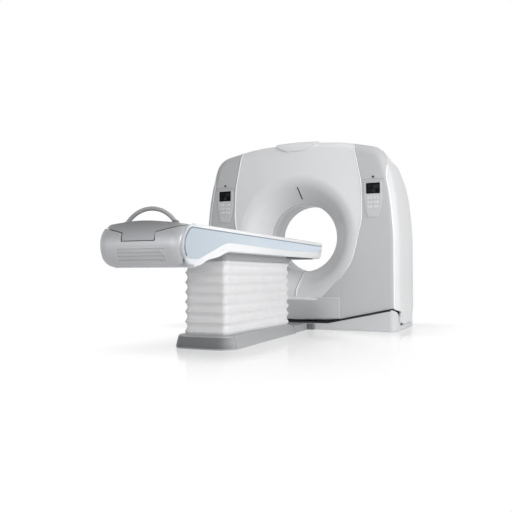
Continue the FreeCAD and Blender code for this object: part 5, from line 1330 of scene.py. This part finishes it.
def build_world(scene, level):
    """A faint even light from all round, and plain white where the world itself is seen."""
    world = bpy.data.worlds.new("pale_studio")
    world.use_nodes = True
    scene.world = world
    tree = world.node_tree
    tree.nodes.clear()
    where = add(tree, "ShaderNodeTexCoord").outputs["Generated"]
    height = add(tree, "ShaderNodeSeparateXYZ", {0: where}).outputs["Z"]
    low = add(tree, "ShaderNodeMapRange",
              {"Value": height, "From Min": 0.0, "From Max": 0.6,
               "To Min": level.ambient + level.horizon, "To Max": level.ambient},
              interpolation_type="SMOOTHSTEP")
    strength = add(tree, "ShaderNodeMix",
                   {0: seen_directly(tree), 2: low.outputs["Result"], 3: 1.0})
    sky = add(tree, "ShaderNodeBackground",
              {"Color": BACKDROP, "Strength": strength.outputs[0]})
    add(tree, "ShaderNodeOutputWorld", {"Surface": sky.outputs["Background"]})


def build_floor(scene, level):
    """The pale glossy floor."""
    reach = FLOOR_HALF
    corners = [(-reach, -reach, 0), (reach, -reach, 0), (reach, reach, 0), (-reach, reach, 0)]
    mesh = bpy.data.meshes.new("floor")
    mesh.from_pydata(corners, [], [(0, 1, 2, 3)])
    mesh.materials.append(floor_finish(level))
    floor = bpy.data.objects.new("floor", mesh)
    scene.collection.objects.link(floor)


def seen_directly(tree):
    """1 for camera, mirror and glass rays, and 0 for the rays that only carry light."""
    path = add(tree, "ShaderNodeLightPath")
    both = add(tree, "ShaderNodeMath",
               {0: path.outputs["Is Camera Ray"], 1: path.outputs["Is Glossy Ray"]},
               operation="MAXIMUM")
    return add(tree, "ShaderNodeMath",
               {0: both.outputs[0], 1: path.outputs["Is Transmission Ray"]},
               operation="MAXIMUM").outputs[0]


def distance_to(tree, centre, half):
    """How far a point of the floor lies outside a box."""
    spot = add(tree, "ShaderNodeNewGeometry").outputs["Position"]
    for operation, given in (("SUBTRACT", centre), ("ABSOLUTE", None), ("SUBTRACT", half),
                             ("MAXIMUM", (0, 0, 0))):
        inputs = {0: spot, 1: given} if given else {0: spot}
        spot = add(tree, "ShaderNodeVectorMath", inputs, operation=operation).outputs[0]
    return add(tree, "ShaderNodeVectorMath", {0: spot}, operation="LENGTH").outputs["Value"]


def floor_finish(level):
    """White polished floor: it mirrors what stands on it close by, and keeps its shadow."""
    made, tree = blank("Floor_polished_white")
    away = [distance_to(tree, centre, half) for centre, half in FOOTPRINTS]
    nearest = add(tree, "ShaderNodeMath", {0: away[0], 1: away[1]},
                  operation="MINIMUM").outputs[0]
    gloss = add(tree, "ShaderNodeMapRange",
                {"Value": nearest, "From Min": 0.0, "From Max": 1.5,
                 "To Min": level.floor_gloss, "To Max": 0.0}, interpolation_type="SMOOTHSTEP")
    # the lit floor turns to plain white away from the object, so that no horizon shows
    clear = add(tree, "ShaderNodeMapRange",
                {"Value": nearest, "From Min": 0.0, "From Max": 0.6,
                 "To Min": 0.72, "To Max": 1.0}, interpolation_type="SMOOTHSTEP")
    share = add(tree, "ShaderNodeMath", {0: clear.outputs["Result"], 1: seen_directly(tree)},
                operation="MULTIPLY")
    matt = add(tree, "ShaderNodeBsdfDiffuse", {"Color": (0.8, 0.8, 0.8, 1)})
    glow = add(tree, "ShaderNodeEmission", {"Color": BACKDROP, "Strength": 1.0})
    lit = add(tree, "ShaderNodeMixShader",
              {"Fac": share.outputs[0], 1: matt.outputs[0], 2: glow.outputs[0]})
    mirror = add(tree, "ShaderNodeBsdfAnisotropic", {"Color": BACKDROP, "Roughness": 0.12})
    mixed = add(tree, "ShaderNodeMixShader",
                {"Fac": gloss.outputs["Result"], 1: lit.outputs[0], 2: mirror.outputs[0]})
    add(tree, "ShaderNodeOutputMaterial", {"Surface": mixed.outputs[0]})
    return made


# ---------------------------------------------------------------- operators


class SCANNER_OT_finishes(bpy.types.Operator):
    """Gives every piece of the frame its finish"""
    bl_idname = "scanner.finishes"
    bl_label = "Finishes"

    def execute(self, context):
        FINISHES.update(make_finishes())
        for name, made in NODES.items():
            finish = NODE_FINISH.get(name, "key" if "_key_" in name else None)
            if finish is None:
                raise RuntimeError(f"no finish for {name}")
            made.data.materials.clear()
            made.data.materials.append(FINISHES[finish])
        return {"FINISHED"}


class SCANNER_OT_seams(bpy.types.Operator):
    """Builds the centre cover's lips and joints, the ledge's rim and the skirts' faces"""
    bl_idname = "scanner.seams"
    bl_label = "Seams and skirts"

    def execute(self, context):
        build_seams()
        build_skirts()
        return {"FINISHED"}


class SCANNER_OT_corners(bpy.types.Operator):
    """Builds the white front corners and the covers with their shoulders drawn in"""
    bl_idname = "scanner.corners"
    bl_label = "Front corners and shoulders"

    def execute(self, context):
        build_corners()
        build_shoulders()
        return {"FINISHED"}


class SCANNER_OT_gap_shade(bpy.types.Operator):
    """Builds the dark strips of painted shade in the tilt gap, the dark pan under it and the
    side skirts
    """
    bl_idname = "scanner.gap_seals"
    bl_label = "Gap seals"

    def execute(self, context):
        build_gap_shade()
        build_base_sides()
        return {"FINISHED"}


class SCANNER_OT_bore(bpy.types.Operator):
    """Builds the laser window, the funnel's split line and the joints of the bore"""
    bl_idname = "scanner.bore"
    bl_label = "Bore and funnel"

    def execute(self, context):
        build_bore()
        return {"FINISHED"}


class SCANNER_OT_controls(bpy.types.Operator):
    """Builds the faces of the displays, the ribs on the panels and the marks on the keys"""
    bl_idname = "scanner.controls"
    bl_label = "Control panels"

    def execute(self, context):
        build_controls()
        return {"FINISHED"}


class SCANNER_OT_side_panels(bpy.types.Operator):
    """Builds the couch's pale blue side panels, the white cheeks round them and the nose"""
    bl_idname = "scanner.side_panels"
    bl_label = "Side panels"

    def execute(self, context):
        build_side_panels()
        return {"FINISHED"}


class SCANNER_OT_foot_end(bpy.types.Operator):
    """Builds the swollen foot cover and end cap of the couch and their trim"""
    bl_idname = "scanner.foot_end"
    bl_label = "Foot end"

    def execute(self, context):
        build_foot_end()
        return {"FINISHED"}


class SCANNER_OT_base_plate(bpy.types.Operator):
    """Builds the couch's base plate, the painted shade round its toe, the floor link and its
    socket
    """
    bl_idname = "scanner.base_plate"
    bl_label = "Base plate"

    def execute(self, context):
        build_base_plate()
        return {"FINISHED"}


class SCANNER_OT_carriage(bpy.types.Operator):
    """Builds the cover over the bellows, the dark rail of painted shade before it and the
    handle's collars
    """
    bl_idname = "scanner.carriage"
    bl_label = "Carriage and collars"

    def execute(self, context):
        build_carriage()
        build_collars()
        return {"FINISHED"}


class SCANNER_OT_bellows(bpy.types.Operator):
    """Builds the folded bellows under the couch"""
    bl_idname = "scanner.bellows"
    bl_label = "Bellows"

    def execute(self, context):
        build_bellows()
        return {"FINISHED"}


class SCANNER_OT_stage(bpy.types.Operator):
    """Builds the camera, the floor, the lights and the world"""
    bl_idname = "scanner.stage"
    bl_label = "Stage"

    def execute(self, context):
        scene, level = context.scene, settings("stage")
        scene.view_settings.view_transform = "Standard"
        build_camera(scene)
        build_lights(scene, level)
        build_world(scene, level)
        build_floor(scene, level)
        return {"FINISHED"}


OPERATORS = (SCANNER_OT_finishes, SCANNER_OT_seams, SCANNER_OT_corners, SCANNER_OT_gap_shade,
             SCANNER_OT_bore, SCANNER_OT_controls, SCANNER_OT_side_panels,
             SCANNER_OT_foot_end, SCANNER_OT_base_plate, SCANNER_OT_carriage,
             SCANNER_OT_bellows, SCANNER_OT_stage)


class SCANNER_PT_sidebar(bpy.types.Panel):
    """Lists the scanner's settings and the steps that build it"""
    bl_idname = "SCANNER_PT_sidebar"
    bl_label = "Ring Scanner"
    bl_space_type = "VIEW_3D"
    bl_region_type = "UI"
    bl_category = "Scanner"

    def draw(self, context):
        for name, group in GROUPS.items():
            block = self.layout.box()
            block.label(text=name.capitalize())
            for prop in group.__annotations__:
                block.prop(getattr(context.scene, "scanner_" + name), prop)
        for step in OPERATORS:
            self.layout.operator(step.bl_idname)


def register():
    """Adds the classes, and the settings to the scene."""
    for made in (*GROUPS.values(), *OPERATORS, SCANNER_PT_sidebar):
        bpy.utils.register_class(made)
    for name, group in GROUPS.items():
        setattr(bpy.types.Scene, "scanner_" + name, PointerProperty(type=group))


def unregister():
    """Takes the settings and the classes away again."""
    for name in GROUPS:
        delattr(bpy.types.Scene, "scanner_" + name)
    for made in (SCANNER_PT_sidebar, *reversed(OPERATORS), *reversed(GROUPS.values())):
        bpy.utils.unregister_class(made)


def main():
    """Builds every step."""
    register()
    for step in OPERATORS:
        group, name = step.bl_idname.split(".")
        getattr(getattr(bpy.ops, group), name)()


if __name__ == "__main__":
    main()
